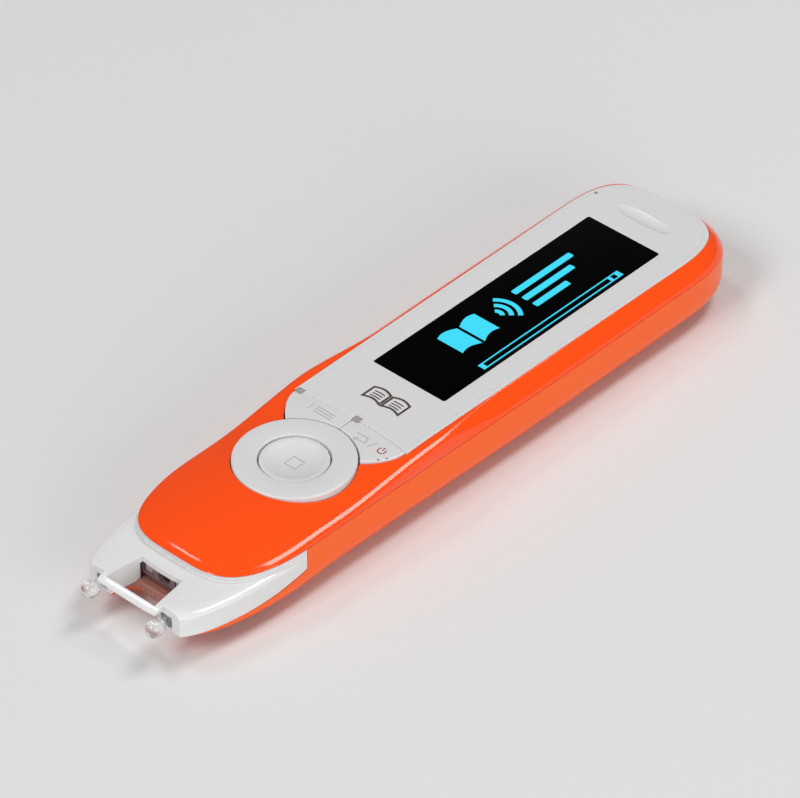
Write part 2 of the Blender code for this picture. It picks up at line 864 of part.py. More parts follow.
def head_top(x):
    """The upper face of a screw's head."""
    return belly_height(x) + screw_recess + screw_head_height


def socket_openings():
    data_low = data_centre_height() - data_socket_height / 2 - side_gap
    data_high = data_centre_height() + data_socket_height / 2 + side_gap
    data = block((rear_x - 2 * wall - overrun, data_socket_side - data_socket_width / 2 - side_gap,
                  data_low),
                 (rear_x + overrun, data_socket_side + data_socket_width / 2 + side_gap,
                  data_high))
    earphone = rod((rear_x - 2 * wall - overrun, earphone_side, earphone_height),
                   (rear_x + overrun, earphone_side, earphone_height),
                   earphone_radius + side_gap, 28)
    return data, earphone


def speaker_slots():
    tools = []
    for index in range(grille_slots):
        x = rear_x - speaker_from_rear + (index - (grille_slots - 1) / 2) * grille_pitch
        tools.append(plate(slot_outline(x, 0, grille_slot_length, grille_slot_width),
                           -overrun, wall + seat_gap / 2))
    return tools


def make_screws():
    for number, (x, y) in enumerate(screw_centres(), 1):
        low = belly_height(x) + screw_recess
        top = boss_split_height + screw_bite
        screw = turned(((0, low), (screw_head_radius, low),
                        (screw_head_radius, low + screw_head_height),
                        (screw_shaft_radius, low + screw_head_height),
                        (screw_shaft_radius, top - screw_shaft_radius),
                        (screw_shaft_radius / 3, top), (0, top)), (x, y), 20)
        arm = screw_head_radius * screw_slot_share
        for dx, dy in ((arm, screw_slot_width / 2), (screw_slot_width / 2, arm)):
            cut(screw, block((x - dx, y - dy, low - overrun),
                             (x + dx, y + dy, low + screw_head_height / 2)))
        part(f"casing_screw_{number}", screw, steel(), round_angle=math.radians(35))


# Face panel and display
def make_face_panel():
    panel = plate(panel_outline(), panel_bottom, body_height)
    window = rounded_box_outline(lens_x, 0, display_length + 2 * side_gap,
                                 display_width + 2 * side_gap, display_corner_radius)
    cut(panel, plate(window, panel_bottom - overrun, body_height + overrun))
    chamfer(panel, panel_edge_radius, 2, math.radians(60))
    x = rear_x - dimple_from_rear
    dimple = plate(slot_outline(x, 0, dimple_length, dimple_width), body_height - dimple_depth,
                   body_height + overrun)
    cut(panel, dimple)
    hole = rod((pinhole_x, pinhole_side, panel_bottom - overrun),
               (pinhole_x, pinhole_side, body_height + overrun),
               pinhole_radius, 12)
    cut(panel, hole, *window_rooms(panel_bottom - overrun))
    return part("face_panel", panel, pale(), round_angle=math.radians(30))


def make_display():
    lens = plate(rounded_box_outline(lens_x, 0, display_length, display_width,
                                     display_corner_radius), panel_bottom, body_height)
    chamfer(lens, small_chamfer, 1, math.radians(60))
    part("display_lens", lens, dark())
    top = deck_bottom - seat_gap
    length = display_length + 2 * display_module_end_margin
    width = display_width + 2 * display_module_side_margin
    glass = block((lens_x - length / 2, -width / 2, top - display_module_thickness),
                  (lens_x + length / 2, width / 2, top))
    part("display_module", glass, finish("display_glass", (0.05, 0.06, 0.07), 0.1))
    make_ribbon(lens_x - length / 2 - seat_gap, top - display_module_thickness / 2)


def make_ribbon(start_x, start_z):
    """The bent strip from the display down to the main board."""
    end_z = board_top + seat_gap
    middle = (start_z + end_z) / 2
    half = (start_z - end_z) / 2
    steps = 8
    outer = []
    inner = []
    for step in range(steps + 1):
        angle = math.pi * step / steps
        for points, grow in ((outer, ribbon_thickness), (inner, 0.0)):
            points.append((start_x - (ribbon_bulge + grow) * math.sin(angle),
                           middle + (half + grow * step / steps) * math.cos(angle)
                           + grow * (1 - step / steps) * math.cos(angle)))
    raised = [(x, z + ribbon_thickness) for x, z in outer]
    inside = [(x, z + ribbon_thickness) for x, z in inner]
    ribbon = side_plate(raised + list(reversed(inside)), -ribbon_width / 2, ribbon_width / 2)
    part("display_ribbon", ribbon, finish("ribbon", (0.45, 0.22, 0.05), 0.4))


# Ring, centre button and keys
def make_ring():
    inner = button_radius + ring_inner_gap
    plate_low = ring_top - ring_plate_thickness
    flange_top = pocket_height - flange_clearance
    soft = ring_edge_radius
    skirt_low = pivot_height - skirt_below_pivot
    profile = [(inner, plate_low), (inner, ring_top - soft), (inner + soft, ring_top)]
    for step in range(4):
        angle = math.pi / 2 * (1 - step / 3)
        profile.append((ring_radius - soft + soft * math.cos(angle),
                        ring_top - soft + soft * math.sin(angle)))
    profile += [(ring_radius, plate_low), (skirt_outer_radius, plate_low),
                (skirt_outer_radius, flange_top), (flange_radius, flange_top),
                (flange_radius, flange_top - flange_thickness),
                (skirt_outer_radius, flange_top - flange_thickness),
                (skirt_outer_radius, skirt_low), (skirt_inner_radius, skirt_low),
                (skirt_inner_radius, plate_low)]
    ring = turned(profile, (ring_x, 0), ring_steps)
    middle = (skirt_inner_radius + skirt_outer_radius) / 2
    stems = []
    for step in range(4):
        angle = math.pi / 2 * step
        x = ring_x + middle * math.cos(angle)
        y = middle * math.sin(angle)
        stems.append(rod((x, y, snap_top + stem_rest_gap), (x, y, skirt_low + stem_radius),
                         stem_radius / 2, 12))
    join(ring, *stems)
    hole = rod((ring_x, -skirt_outer_radius - overrun / 4, pivot_height),
               (ring_x, skirt_outer_radius + overrun / 4, pivot_height),
               rocker_pin_radius + rocker_pin_clearance)
    cut(ring, hole)
    part("nav_ring", ring, pale(), (ring_x, 0, pivot_height), math.radians(30))


def make_carrier():
    low = pivot_height - carrier_thickness / 2
    high = pivot_height + carrier_thickness / 2
    carrier = turned(((carrier_inner_radius, low), (carrier_outer_radius, low),
                      (carrier_outer_radius, high), (carrier_inner_radius, high)),
                     (ring_x, 0), 32)
    for sign in (1, -1):
        start = sign * (carrier_outer_radius - rocker_pin_length / 2)
        end = sign * (carrier_outer_radius + rocker_pin_length)
        join(carrier, rod((ring_x, start, pivot_height), (ring_x, end, pivot_height),
                          rocker_pin_radius))
    hole = rod((ring_x - carrier_outer_radius - overrun, 0, pivot_height),
               (ring_x + carrier_outer_radius + overrun, 0, pivot_height),
               rocker_pin_radius + rocker_pin_clearance)
    cut(carrier, hole)
    part("nav_carrier", carrier, finish("carrier_plastic", (0.12, 0.12, 0.13), 0.5),
         (ring_x, 0, pivot_height), math.radians(30))


def make_post():
    """The fixed post with two ears whose pins carry the rocker carrier."""
    low = pivot_height - carrier_thickness / 2 - post_ear_size
    top = low + post_ring_thickness
    post = turned(((post_ring_inner_radius, low), (post_ear_radius, low),
                   (post_ear_radius, top), (post_ring_inner_radius, top)), (ring_x, 0), 24)
    tools = []
    for sign in (1, -1):
        outer = ring_x + sign * (carrier_inner_radius - side_gap)
        inner = ring_x + sign * (post_ear_radius - post_ear_size)
        ear_high = pivot_height + rocker_pin_radius + side_gap
        tools.append(block((min(inner, outer), -post_ear_size / 2, low),
                           (max(inner, outer), post_ear_size / 2, ear_high)))
        tip = ring_x + sign * (carrier_inner_radius + rocker_pin_length)
        tools.append(rod((inner, 0, pivot_height), (tip, 0, pivot_height), rocker_pin_radius))
    middle = (post_ring_inner_radius + post_ear_radius) / 2
    for x, y in diagonal_places(middle):
        tools.append(rod((x, y, board_top + seat_gap), (x, y, low + post_ring_thickness / 2),
                         post_leg_radius, 12))
    join(post, *tools)
    part("nav_post", post, finish("carrier_plastic", (0.12, 0.12, 0.13), 0.5),
         round_angle=math.radians(30))


def diagonal_places(radius):
    """Four places round the ring's centre, between its four directions."""
    places = []
    for step in range(4):
        angle = math.pi / 4 + math.pi / 2 * step
        places.append((ring_x + radius * math.cos(angle), radius * math.sin(angle)))
    return places


def make_center_button():
    soft = ring_edge_radius
    top = ring_top - button_drop
    low = top - button_thickness
    dish_low = top - button_dish_depth
    profile = [(0, low), (button_radius, low), (button_radius, top - soft),
               (button_radius - soft, top), (button_dish_radius, top)]
    for step in range(1, 6):
        share = 1 - step / 5
        profile.append((button_dish_radius * share, dish_low + button_dish_depth * share ** 2))
    button = turned(profile, (ring_x, 0), 40)
    stem = rod((ring_x, 0, snap_top + press_rest_gap), (ring_x, 0, low + soft),
               2 * stem_radius, 20)
    join(button, stem)
    part("center_button", button, pale(), (ring_x, 0, low), math.radians(30))


def make_key(name, sign):
    low = body_height - key_plate_thickness
    inner = side_gap / 2
    key = plate(key_outline(0.0, inner), low, body_height)
    chamfer(key, panel_edge_radius, 2, math.radians(60))
    tongue_top = deck_bottom - seat_gap
    post_x = key_rear_x - key_post_length
    half = key_post_width / 2
    post = block((post_x, key_stem_side - half, tongue_top - key_tongue_thickness),
                 (bowed(key_rear_x, key_stem_side + half)[0], key_stem_side + half,
                  low + key_tongue_thickness))
    tongue = block((post_x, key_stem_side - key_tongue_width / 2,
                    tongue_top - key_tongue_thickness),
                   (key_rear_x + key_tongue_length, key_stem_side + key_tongue_width / 2,
                    tongue_top))
    stem = rod((key_stem_x(), key_stem_side, snap_top + press_rest_gap),
               (key_stem_x(), key_stem_side, tongue_top - key_tongue_thickness / 2),
               stem_radius, 14)
    join(key, post, tongue, stem)
    if sign < 0:
        key.data.transform(Matrix.Scale(-1, 4, (0, 1, 0)))
        key.data.flip_normals()
    cut(key, *window_rooms(low - overrun))
    part(name, key, pale(), (key_stem_x(), sign * key_stem_side, low), math.radians(30))


def key_stem_x():
    return key_rear_x - key_post_length / 2


def light_window_places():
    """The light windows on the joint of panel and keys: in its corner and near its middle."""
    joint_x = (panel_front_x + key_rear_x) / 2
    return bowed(joint_x, light_window_side), bowed(joint_x, light_window_middle_side)


def window_rooms(low):
    """The square holes that the light windows stand in."""
    reach = light_window_size / 2 + side_gap
    return [block((x - reach, y - reach, low), (x + reach, y + reach, body_height + overrun))
            for x, y in light_window_places()]


def make_light_windows():
    for name, (x, y) in zip(("light_window_left", "light_window_middle"), light_window_places()):
        half = light_window_size / 2
        pipe = block((x - half, y - half, body_height - light_window_length),
                     (x + half, y + half, body_height))
        chamfer(pipe, small_chamfer)
        part(name, pipe, finish("smoked_window", (0.05, 0.045, 0.045), 0.15))


def make_contact_sheet():
    sheet = block((front_x + sheet_front_from_front, -sheet_half_width, board_top + seat_gap),
                  (front_x + sheet_rear_from_front, sheet_half_width, sheet_top))
    middle = (skirt_inner_radius + skirt_outer_radius) / 2
    places = [(ring_x, 0)]
    for step in range(4):
        angle = math.pi / 2 * step
        places.append((ring_x + middle * math.cos(angle), middle * math.sin(angle)))
    places += [(key_stem_x(), sign * key_stem_side) for sign in (1, -1)]
    broad, narrow = snap_shoulder_shares
    domes = []
    for place in places:
        domes.append(turned(((0, board_top + seat_gap + sheet_thickness / 2),
                             (snap_radius, board_top + seat_gap + sheet_thickness / 2),
                             (snap_radius, sheet_top),
                             (snap_radius * broad, snap_top - snap_rise * narrow),
                             (snap_radius * narrow, snap_top), (0, snap_top)), place, 12))
    join(sheet, *domes)
    leg = (post_ring_inner_radius + post_ear_radius) / 2
    for x, y in diagonal_places(leg):
        cut(sheet, rod((x, y, board_top - overrun), (x, y, snap_top), post_leg_radius + side_gap,
                       12))
    part("contact_sheet", sheet, finish("contact_film", (0.62, 0.6, 0.55), 0.35, metallic=0.3))


# Clear nose
def make_nose():
    edge = outline(nose_front_x, nose_power_shares)
    body = mirrored("nose", rounded_top(edge, -overrun, lambda x, y: nose_top_height,
                                        lambda x: nose_edge_radius, rungs=(0.0,)))
    collar_edge = outline(casing_front_x, casing_front_power_shares, steps=14)
    collar = plate(closed_outline(collar_edge), 0.0, collar_top)
    skirt_edge = outline(casing_front_x - nose_collar_offset, casing_front_power_shares, steps=14)
    skirt = plate(closed_outline(skirt_edge), 0.0, (collar_top + nose_top_height) / 2)
    join(body, collar, skirt)
    keep(body, side_plate(nose_room(-side_gap, seam_gap / 2, collar_top + overrun),
                          -rear_half_width - overrun, rear_half_width + overrun))
    cut(body, *nose_rooms())
    cut(body, *tip_rooms())
    return part("nose_shell", body, clear(), round_angle=math.radians(30))


def nose_rooms():
    """The hollow under the casing's front, and the space under the nose's roof."""
    tall = outline(casing_front_x, casing_front_power_shares, wall)
    low = outline(nose_front_x, nose_power_shares, wall)
    under_roof = keep(plate(closed_outline(low), -overrun, roof_bottom),
                      block((front_x + nose_front_wall_from_front, -rear_half_width, -2 * overrun),
                            (rear_x, rear_half_width, collar_top)))
    return plate(closed_outline(tall), -overrun, collar_top + overrun), under_roof


def mouth_outline(grow=0.0):
    """The reading window: wider at the front, its rear edge bowed forward."""
    rear = front_x + mouth_rear_from_front
    front = front_x + mouth_front_from_front
    points = [(front, mouth_front_half_width), (front, -mouth_front_half_width)]
    steps = 6
    for step in range(steps + 1):
        share = 2 * step / steps - 1
        points.append((rear - mouth_rear_bow * (1 - share ** 2) + grow,
                       mouth_rear_half_width * share))
    return points


def tip_rooms():
    """The reading window, the open front under the bar, and the feet's channels."""
    mouth = plate(mouth_outline(), -overrun, nose_top_height + overrun)
    bar_bottom = nose_top_height - bar_depth
    front = front_x - overrun
    back = front_x + notch_back_from_front
    under_bar = block((front, -mouth_front_half_width, -overrun),
                      (front_x + mouth_front_from_front + weld * 10, mouth_front_half_width,
                       bar_bottom))
    tools = [mouth, under_bar]
    for sign in (1, -1):
        inner = sign * (mouth_front_half_width - cheek_web)
        outer = sign * notch_outer_side
        tools.append(block((front, min(inner, outer), -overrun),
                           (back, max(inner, outer), bar_bottom)))
        top_inner = sign * notch_inner_side
        tools.append(block((front, min(top_inner, outer), bar_bottom - weld * 10),
                           (back, max(top_inner, outer), nose_top_height + overrun)))
        reach = yoke_arm_width / 2 + side_gap
        side = sign * foot_side
        tools.append(block((back - weld * 10, side - reach,
                            foot_height - yoke_arm_thickness / 2 - side_gap),
                           (front_x + nose_front_wall_from_front + weld * 10, side + reach,
                            foot_height + yoke_arm_thickness / 2 + side_gap)))
    return tools


# Tip yoke, spring and switch
def yoke_bar_front():
    return front_x + yoke_bar_from_front - yoke_bar_depth


def yoke_bar_low():
    return foot_height - yoke_arm_thickness / 2 - yoke_drop


def spring_height():
    return yoke_bar_low() + yoke_bar_height / 2 + spring_peg_radius


def spring_front_x():
    return front_x + yoke_bar_from_front + seat_gap


def spring_rear_x():
    return spring_front_x() + spring_length


def make_yoke():
    bar_front = yoke_bar_front()
    bar_rear = front_x + yoke_bar_from_front
    arm_front = front_x + yoke_arm_front_from_front
    low = yoke_bar_low()
    half = yoke_arm_width / 2
    yoke = block((bar_front, -foot_side - half, low),
                 (bar_rear, foot_side + half, low + yoke_bar_height))
    tools = []
    for sign in (1, -1):
        side = sign * foot_side
        tools.append(block((arm_front, side - half, foot_height - yoke_arm_thickness / 2),
                           (bar_rear, side + half, foot_height + yoke_arm_thickness / 2)))
        tools.append(block((bar_front, side - half, low),
                           (bar_rear, side + half, foot_height)))
        tools.append(rod((foot_x, side, foot_height), (arm_front + foot_neck_radius, side,
                                                      foot_height), foot_neck_radius, 16))
        tools.append(ball((foot_x, side, foot_height), foot_radius))
    tools.append(block((bar_front, spring_side - spring_radius, low),
                       (bar_rear, spring_side + spring_radius, spring_height() + spring_radius)))
    join(yoke, *tools)
    part("tip_yoke", yoke, clear(), (foot_x, 0, foot_height), math.radians(30))


def make_spring():
    """A wound spring between the yoke and its seat."""
    curve = bpy.data.curves.new("tip_spring", "CURVE")
    curve.dimensions = "3D"
    curve.bevel_depth = spring_wire_radius
    curve.bevel_resolution = 1
    curve.use_fill_caps = True
    steps = spring_turns * 10
    line = curve.splines.new("POLY")
    line.points.add(steps)
    start = spring_front_x() + spring_wire_radius
    span = spring_length - 2 * spring_wire_radius
    for step in range(steps + 1):
        angle = math.tau * spring_turns * step / steps
        line.points[step].co = (start + span * step / steps,
                                spring_side + spring_radius * math.cos(angle),
                                spring_height() + spring_radius * math.sin(angle), 1.0)
    item = bpy.data.objects.new("tip_spring", curve)
    bpy.context.scene.collection.objects.link(item)
    curve.materials.append(steel())


def make_switch():
    """The small switch behind the yoke, pressed through its plunger."""
    front = front_x + yoke_bar_from_front + yoke_travel + side_gap / 2 + plunger_length
    z = yoke_bar_low() + yoke_bar_height / 2
    body = block((front, -spring_side - switch_width / 2, z - switch_height / 2),
                 (front + switch_length, -spring_side + switch_width / 2, z + switch_height / 2))
    chamfer(body, small_chamfer)
    plunger = rod((front + plunger_length, -spring_side, z), (front - plunger_length,
                                                             -spring_side, z),
                  plunger_radius, 14)
    join(body, plunger)
    part("tip_switch", body, finish("switch_black", (0.03, 0.03, 0.03), 0.45))


# Camera and lamps
def make_camera():
    front = front_x + camera_from_front - camera_length
    rear = front_x + camera_from_front
    barrel = rod((front, 0, camera_height), (rear, 0, camera_height), camera_radius, 28)
    cut(barrel, rod((front - overrun, 0, camera_height), (rear + overrun, 0, camera_height),
                    camera_bore_radius, 24))
    part("camera_barrel", barrel, dark(), round_angle=math.radians(30))
    lens_front = front + seat_gap
    lens = rod((lens_front, 0, camera_height),
               (lens_front + camera_lens_thickness, 0, camera_height),
               camera_bore_radius - side_gap / 2, 24, camera_bore_radius - side_gap)
    chamfer(lens, side_gap, 2)
    part("camera_lens", lens, finish("lens_glass", (0.5, 0.55, 0.6), 0.05, transmission=0.9),
         round_angle=math.radians(30))
    board = block((rear + seat_gap, -sensor_board_width / 2,
                   camera_height - sensor_board_height / 2),
                  (rear + seat_gap + sensor_board_thickness, sensor_board_width / 2,
                   camera_height + sensor_board_height / 2))
    part("sensor_board", board, board_green())


def make_baffle():
    """The dark wall behind the reading window, with the camera's aperture."""
    front = front_x + baffle_front_from_front
    baffle = block((front, -baffle_half_width, baffle_low),
                   (front + baffle_thickness, baffle_half_width, roof_bottom - side_gap))
    rear = front + baffle_thickness
    cut(baffle, rod((front - overrun, 0, aperture_height), (rear + overrun, 0, aperture_height),
                    aperture_radius, 20))
    for sign in (1, -1):
        side = sign * lamp_side
        cut(baffle, block((front - overrun, side - lamp_width / 2 - side_gap,
                           aperture_height - lamp_height / 2 - side_gap),
                          (rear + overrun, side + lamp_width / 2 + side_gap,
                           aperture_height + lamp_height / 2 + side_gap)))
    part("light_baffle", baffle, dark(), round_angle=math.radians(30))
    for name, sign in (("lamp_left", 1), ("lamp_right", -1)):
        side = sign * lamp_side
        lamp = block((front, side - lamp_width / 2, aperture_height - lamp_height / 2),
                     (front + lamp_length, side + lamp_width / 2,
                      aperture_height + lamp_height / 2))
        chamfer(lamp, small_chamfer)
        part(name, lamp, finish("lamp", (0.9, 0.85, 0.6), 0.2))


# Board, battery and small inner parts
def make_board():
    front = front_x + board_front_from_front
    middle = rear_x - board_step_from_rear
    rear = rear_x - board_rear_from_rear
    notch = rear_x - board_notch_from_rear
    points = [(front, board_half_width), (front, -board_half_width),
              (middle, -board_half_width), (middle, -board_rear_half_width),
              (rear, -board_rear_half_width), (rear, board_notch_side),
              (notch, board_notch_side), (notch, board_rear_half_width),
              (middle, board_rear_half_width), (middle, board_half_width)]
    board = plate(points, board_height, board_top)
    part("main_board", board, board_green())
    chips = (("processor", processor_from_front, processor_size, processor_size),
             ("memory_chip", memory_from_front, memory_length, memory_width))
    for name, place, length, width in chips:
        x = front_x + place
        chip = block((x - length / 2, -width / 2, board_top + seat_gap),
                     (x + length / 2, width / 2, board_top + seat_gap + chip_height))
        chamfer(chip, small_chamfer)
        part(name, chip, finish("chip_black", (0.02, 0.02, 0.022), 0.5))


def make_battery():
    low = wall + seat_gap
    high = board_height - seat_gap
    battery = block((front_x + battery_front_from_front, -battery_half_width, low),
                    (rear_x - battery_rear_from_rear, battery_half_width, high))
    chamfer(battery, battery_edge_radius, 3)
    part("battery", battery, finish("battery_foil", (0.5, 0.52, 0.55), 0.35, metallic=0.6),
         round_angle=math.radians(40))


def make_speaker():
    x = rear_x - speaker_from_rear
    low = wall + seat_gap
    speaker = plate(rounded_box_outline(x, 0, speaker_length, 2 * speaker_half_width,
                                        speaker_length / 3, 4), low, low + speaker_height)
    chamfer(speaker, small_chamfer, 1, math.radians(60))
    part("speaker", speaker, dark(), round_angle=math.radians(40))


def make_microphone():
    x = pinhole_x
    top = deck_bottom - seat_gap
    can = rod((x, pinhole_side - microphone_radius, top - microphone_height),
              (x, pinhole_side - microphone_radius, top), microphone_radius, 20)
    part("microphone", can, steel(), round_angle=math.radians(35))


# Rear sockets
def data_centre_height():
    return board_top + seat_gap + data_socket_height / 2


def make_data_socket():
    mouth_x = rear_x - socket_recess
    back_x = mouth_x - data_socket_length
    z = data_centre_height()
    y = data_socket_side
    half_w = data_socket_width / 2
    half_h = data_socket_height / 2
    shell = block((back_x, y - half_w, z - half_h), (mouth_x, y + half_w, z + half_h))
    chamfer(shell, data_socket_wall, 2)
    inner_w = half_w - data_socket_wall
    inner_h = half_h - data_socket_wall
    cut(shell, block((back_x + data_socket_wall, y - inner_w, z - inner_h),
                     (mouth_x + overrun, y + inner_w, z + inner_h)))
    join(shell, block((back_x, y - inner_w * data_tongue_share, z - data_tongue_thickness / 2),
                      (mouth_x - 2 * data_socket_wall, y + inner_w * data_tongue_share,
                       z + data_tongue_thickness / 2)))
    part("data_socket", shell, steel(), round_angle=math.radians(35))


def make_earphone_socket():
    mouth_x = rear_x - socket_recess
    back_x = mouth_x - earphone_length
    z = earphone_height
    y = earphone_side
    barrel = rod((mouth_x - earphone_length / 2, y, z), (mouth_x, y, z), earphone_radius, 28)
    half = earphone_body_half
    body = block((back_x, y - half, z - half), (mouth_x - 2 * wall, y + half, z + half))
    join(body, barrel)
    cut(body, rod((back_x + wall, y, z), (mouth_x + overrun, y, z), earphone_bore_radius, 24))
    part("earphone_socket", body, finish("socket_black", (0.03, 0.03, 0.03), 0.4),
         round_angle=math.radians(35))


def main():
    for item in list(bpy.data.objects):
        bpy.data.objects.remove(item)
    make_upper_casing()
    make_lower_casing()
    make_screws()
    make_face_panel()
    make_display()
    make_ring()
    make_carrier()
    make_post()
    make_center_button()
    make_key("menu_button", 1)
    make_key("back_button", -1)
    make_light_windows()
    make_contact_sheet()
    make_nose()
    make_yoke()
    make_spring()
    make_switch()
    make_camera()
    make_baffle()
    make_board()
    make_battery()
    make_speaker()
    make_microphone()
    make_data_socket()
    make_earphone_socket()


main()
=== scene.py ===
"""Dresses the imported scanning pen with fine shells, a clear nose, keys, a display and a studio.

Units are metres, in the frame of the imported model: the pen lies along X with its nose
toward -X, and Z is up out of the face with the display.
"""
import json
import logging
import math
from collections.abc import Callable, Iterator, Sequence
from contextlib import contextmanager
from dataclasses import dataclass, field
from enum import Enum

import bpy
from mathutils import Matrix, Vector

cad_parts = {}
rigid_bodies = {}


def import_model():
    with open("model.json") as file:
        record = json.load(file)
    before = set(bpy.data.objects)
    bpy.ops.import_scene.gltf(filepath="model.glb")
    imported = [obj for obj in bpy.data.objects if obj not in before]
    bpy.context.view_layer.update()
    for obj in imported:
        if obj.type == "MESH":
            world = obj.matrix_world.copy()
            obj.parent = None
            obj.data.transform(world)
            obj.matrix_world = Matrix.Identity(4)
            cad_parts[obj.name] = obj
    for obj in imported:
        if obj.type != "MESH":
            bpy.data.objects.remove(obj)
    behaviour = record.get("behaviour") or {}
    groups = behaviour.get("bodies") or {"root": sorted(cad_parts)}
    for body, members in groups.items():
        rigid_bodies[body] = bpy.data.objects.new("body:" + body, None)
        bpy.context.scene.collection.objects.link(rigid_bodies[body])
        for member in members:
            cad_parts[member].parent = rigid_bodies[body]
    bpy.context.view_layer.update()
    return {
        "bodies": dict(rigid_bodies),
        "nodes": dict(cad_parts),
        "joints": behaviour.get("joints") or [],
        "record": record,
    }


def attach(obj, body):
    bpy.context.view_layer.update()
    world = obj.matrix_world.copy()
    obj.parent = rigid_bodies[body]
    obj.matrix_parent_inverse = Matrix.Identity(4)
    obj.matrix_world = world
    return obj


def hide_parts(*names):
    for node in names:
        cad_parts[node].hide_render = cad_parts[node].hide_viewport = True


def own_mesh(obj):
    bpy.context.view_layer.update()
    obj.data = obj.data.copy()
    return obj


MM = 0.001
MERGE = 0.0005 * MM
MIRROR_MERGE = 0.0002 * MM
TINY = 0.0001 * MM
Point2 = tuple[float, float]
Point3 = tuple[float, float, float]
Colour = tuple[float, float, float]
PlanPoint = tuple[float, float, Vector]
Piece = bpy.types.Object
Socket = bpy.types.NodeSocket
Material = bpy.types.Material

log = logging.getLogger("scanning_pen")


def mm(*values: float) -> tuple[float, ...]:
    """Millimetres as metres."""
    return tuple(value * MM for value in values)


class Operation(Enum):
    """What a tool does to the piece that it meets."""

    JOIN = "UNION"
    CUT = "DIFFERENCE"
    KEEP = "INTERSECT"


class Body(Enum):
    """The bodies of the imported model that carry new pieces."""

    CASING = "casing"
    RING = "ring"
    CENTER = "center"
    MENU = "menu"
    BACK = "back"
    YOKE = "yoke"


# Finishes
class Shader:
    """A material's node tree, with the few steps that the finishes share."""

    def __init__(self, name: str) -> None:
        """Start a material.

        Args:
            name: The material's name.
        """
        self.material = bpy.data.materials.new(name)
        self.material.use_nodes = True
        self.tree = self.material.node_tree
        self.surface = self.tree.nodes["Principled BSDF"]
        self.place = self.add("ShaderNodeTexCoord").outputs["Object"]

    def add(self, kind: str, **settings: object) -> bpy.types.Node:
        """Add a node.

        Args:
            kind: Blender's type name.
            settings: Attributes set on the node.

        Returns:
            The new node.
        """
        node = self.tree.nodes.new(kind)
        for key, value in settings.items():
            setattr(node, key, value)
        return node

    def link(self, source: Socket, target: Socket) -> None:
        """Connect an output to an input."""
        self.tree.links.new(source, target)

    def stretched(self, scale: Point3) -> Socket:
        """The surface's place, scaled along each axis.

        Args:
            scale: Scale along X, Y and Z.

        Returns:
            The scaled place.
        """
        mapping = self.add("ShaderNodeMapping")
        mapping.inputs["Scale"].default_value = scale
        self.link(self.place, mapping.inputs["Vector"])
        return mapping.outputs["Vector"]

    def texture(self, kind: str, scale: float, place: Socket | None = None,
                **settings: object) -> bpy.types.Node:
        """Add a pattern that reads the surface's place.

        Args:
            kind: Blender's type name.
            scale: Features per metre.
            place: The place that it reads, or the surface's own.
            settings: Attributes set on the node.

        Returns:
            The new node.
        """
        node = self.add(kind, **settings)
        node.inputs["Scale"].default_value = scale
        self.link(place or self.place, node.inputs["Vector"])
        return node

    def noise(self, scale: float, detail: float = 2.0, place: Socket | None = None) -> Socket:
        """A noise pattern.

        Args:
            scale: Features per metre.
            detail: Octaves.
            place: The place that it reads, or the surface's own.

        Returns:
            The noise value.
        """
        node = self.texture("ShaderNodeTexNoise", scale, place)
        node.inputs["Detail"].default_value = detail
        return node.outputs["Fac"]

    def spread(self, value: Socket, low: float, high: float,
               start: float = 0.3, end: float = 0.7) -> Socket:
        """A value brought between two numbers.

        Args:
            value: The value.
            low: The result at the start.
            high: The result at the end.
            start: Where the value starts to count.
            end: Where it stops.

        Returns:
            The new value.
        """
        node = self.add("ShaderNodeMapRange")
        node.inputs["From Min"].default_value = start
        node.inputs["From Max"].default_value = end
        node.inputs["To Min"].default_value = low
        node.inputs["To Max"].default_value = high
        self.link(value, node.inputs["Value"])
        return node.outputs["Result"]

    def blend(self, share: Socket, first: Colour, second: Colour) -> Socket:
        """A colour between two, by a share.

        Args:
            share: From 0 to 1.
            first: The colour at 0.
            second: The colour at 1.

        Returns:
            The mixed colour.
        """
        node = self.add("ShaderNodeMix", data_type="RGBA")
        node.inputs[6].default_value = (*first, 1.0)
        node.inputs[7].default_value = (*second, 1.0)
        self.link(share, node.inputs[0])
        return node.outputs[2]

    def bump(self, height: Socket, depth: float) -> None:
        """Give the surface a fine relief.

        Args:
            height: The relief's pattern.
            depth: Its depth in metres.
        """
        node = self.add("ShaderNodeBump")
        node.inputs["Strength"].default_value = 1.0
        node.inputs["Distance"].default_value = depth
        self.link(height, node.inputs["Height"])
        self.link(node.outputs["Normal"], self.surface.inputs["Normal"])

    def fix(self, values: dict[str, object]) -> None:
        """Set the surface's own sockets.

        Args:
            values: What each named socket takes.
        """
        for key, value in values.items():
            self.surface.inputs[key].default_value = value

    def feed(self, name: str, source: Socket) -> None:
        """Connect a value to one of the surface's own sockets."""
        self.link(source, self.surface.inputs[name])

    def vary(self, colour: Colour, pattern: Socket, low: float, high: float) -> None:
        """Give the surface a colour that a pattern makes darker and lighter.

        Args:
            colour: The colour.
            pattern: The pattern.
            low: The darkest share of the colour.
            high: The lightest share of it.
        """
        self.feed("Base Color", self.blend(pattern, shade(colour, low), shade(colour, high)))

    def gloss(self, roughness: float, pattern: Socket, low: float, high: float) -> None:
        """Give the surface a roughness that a pattern makes uneven.

        Args:
            roughness: The roughness.
            pattern: The pattern.
            low: The lowest share of the roughness.
            high: The highest share of it.
        """
        self.feed("Roughness", self.spread(pattern, roughness * low, roughness * high))


def shade(colour: Colour, share: float) -> Colour:
    """A colour made lighter or darker.

    Args:
        colour: The colour.
        share: The factor on each channel.

    Returns:
        The new colour, at most 1 in each channel.
    """
    return tuple(min(1.0, channel * share) for channel in colour)


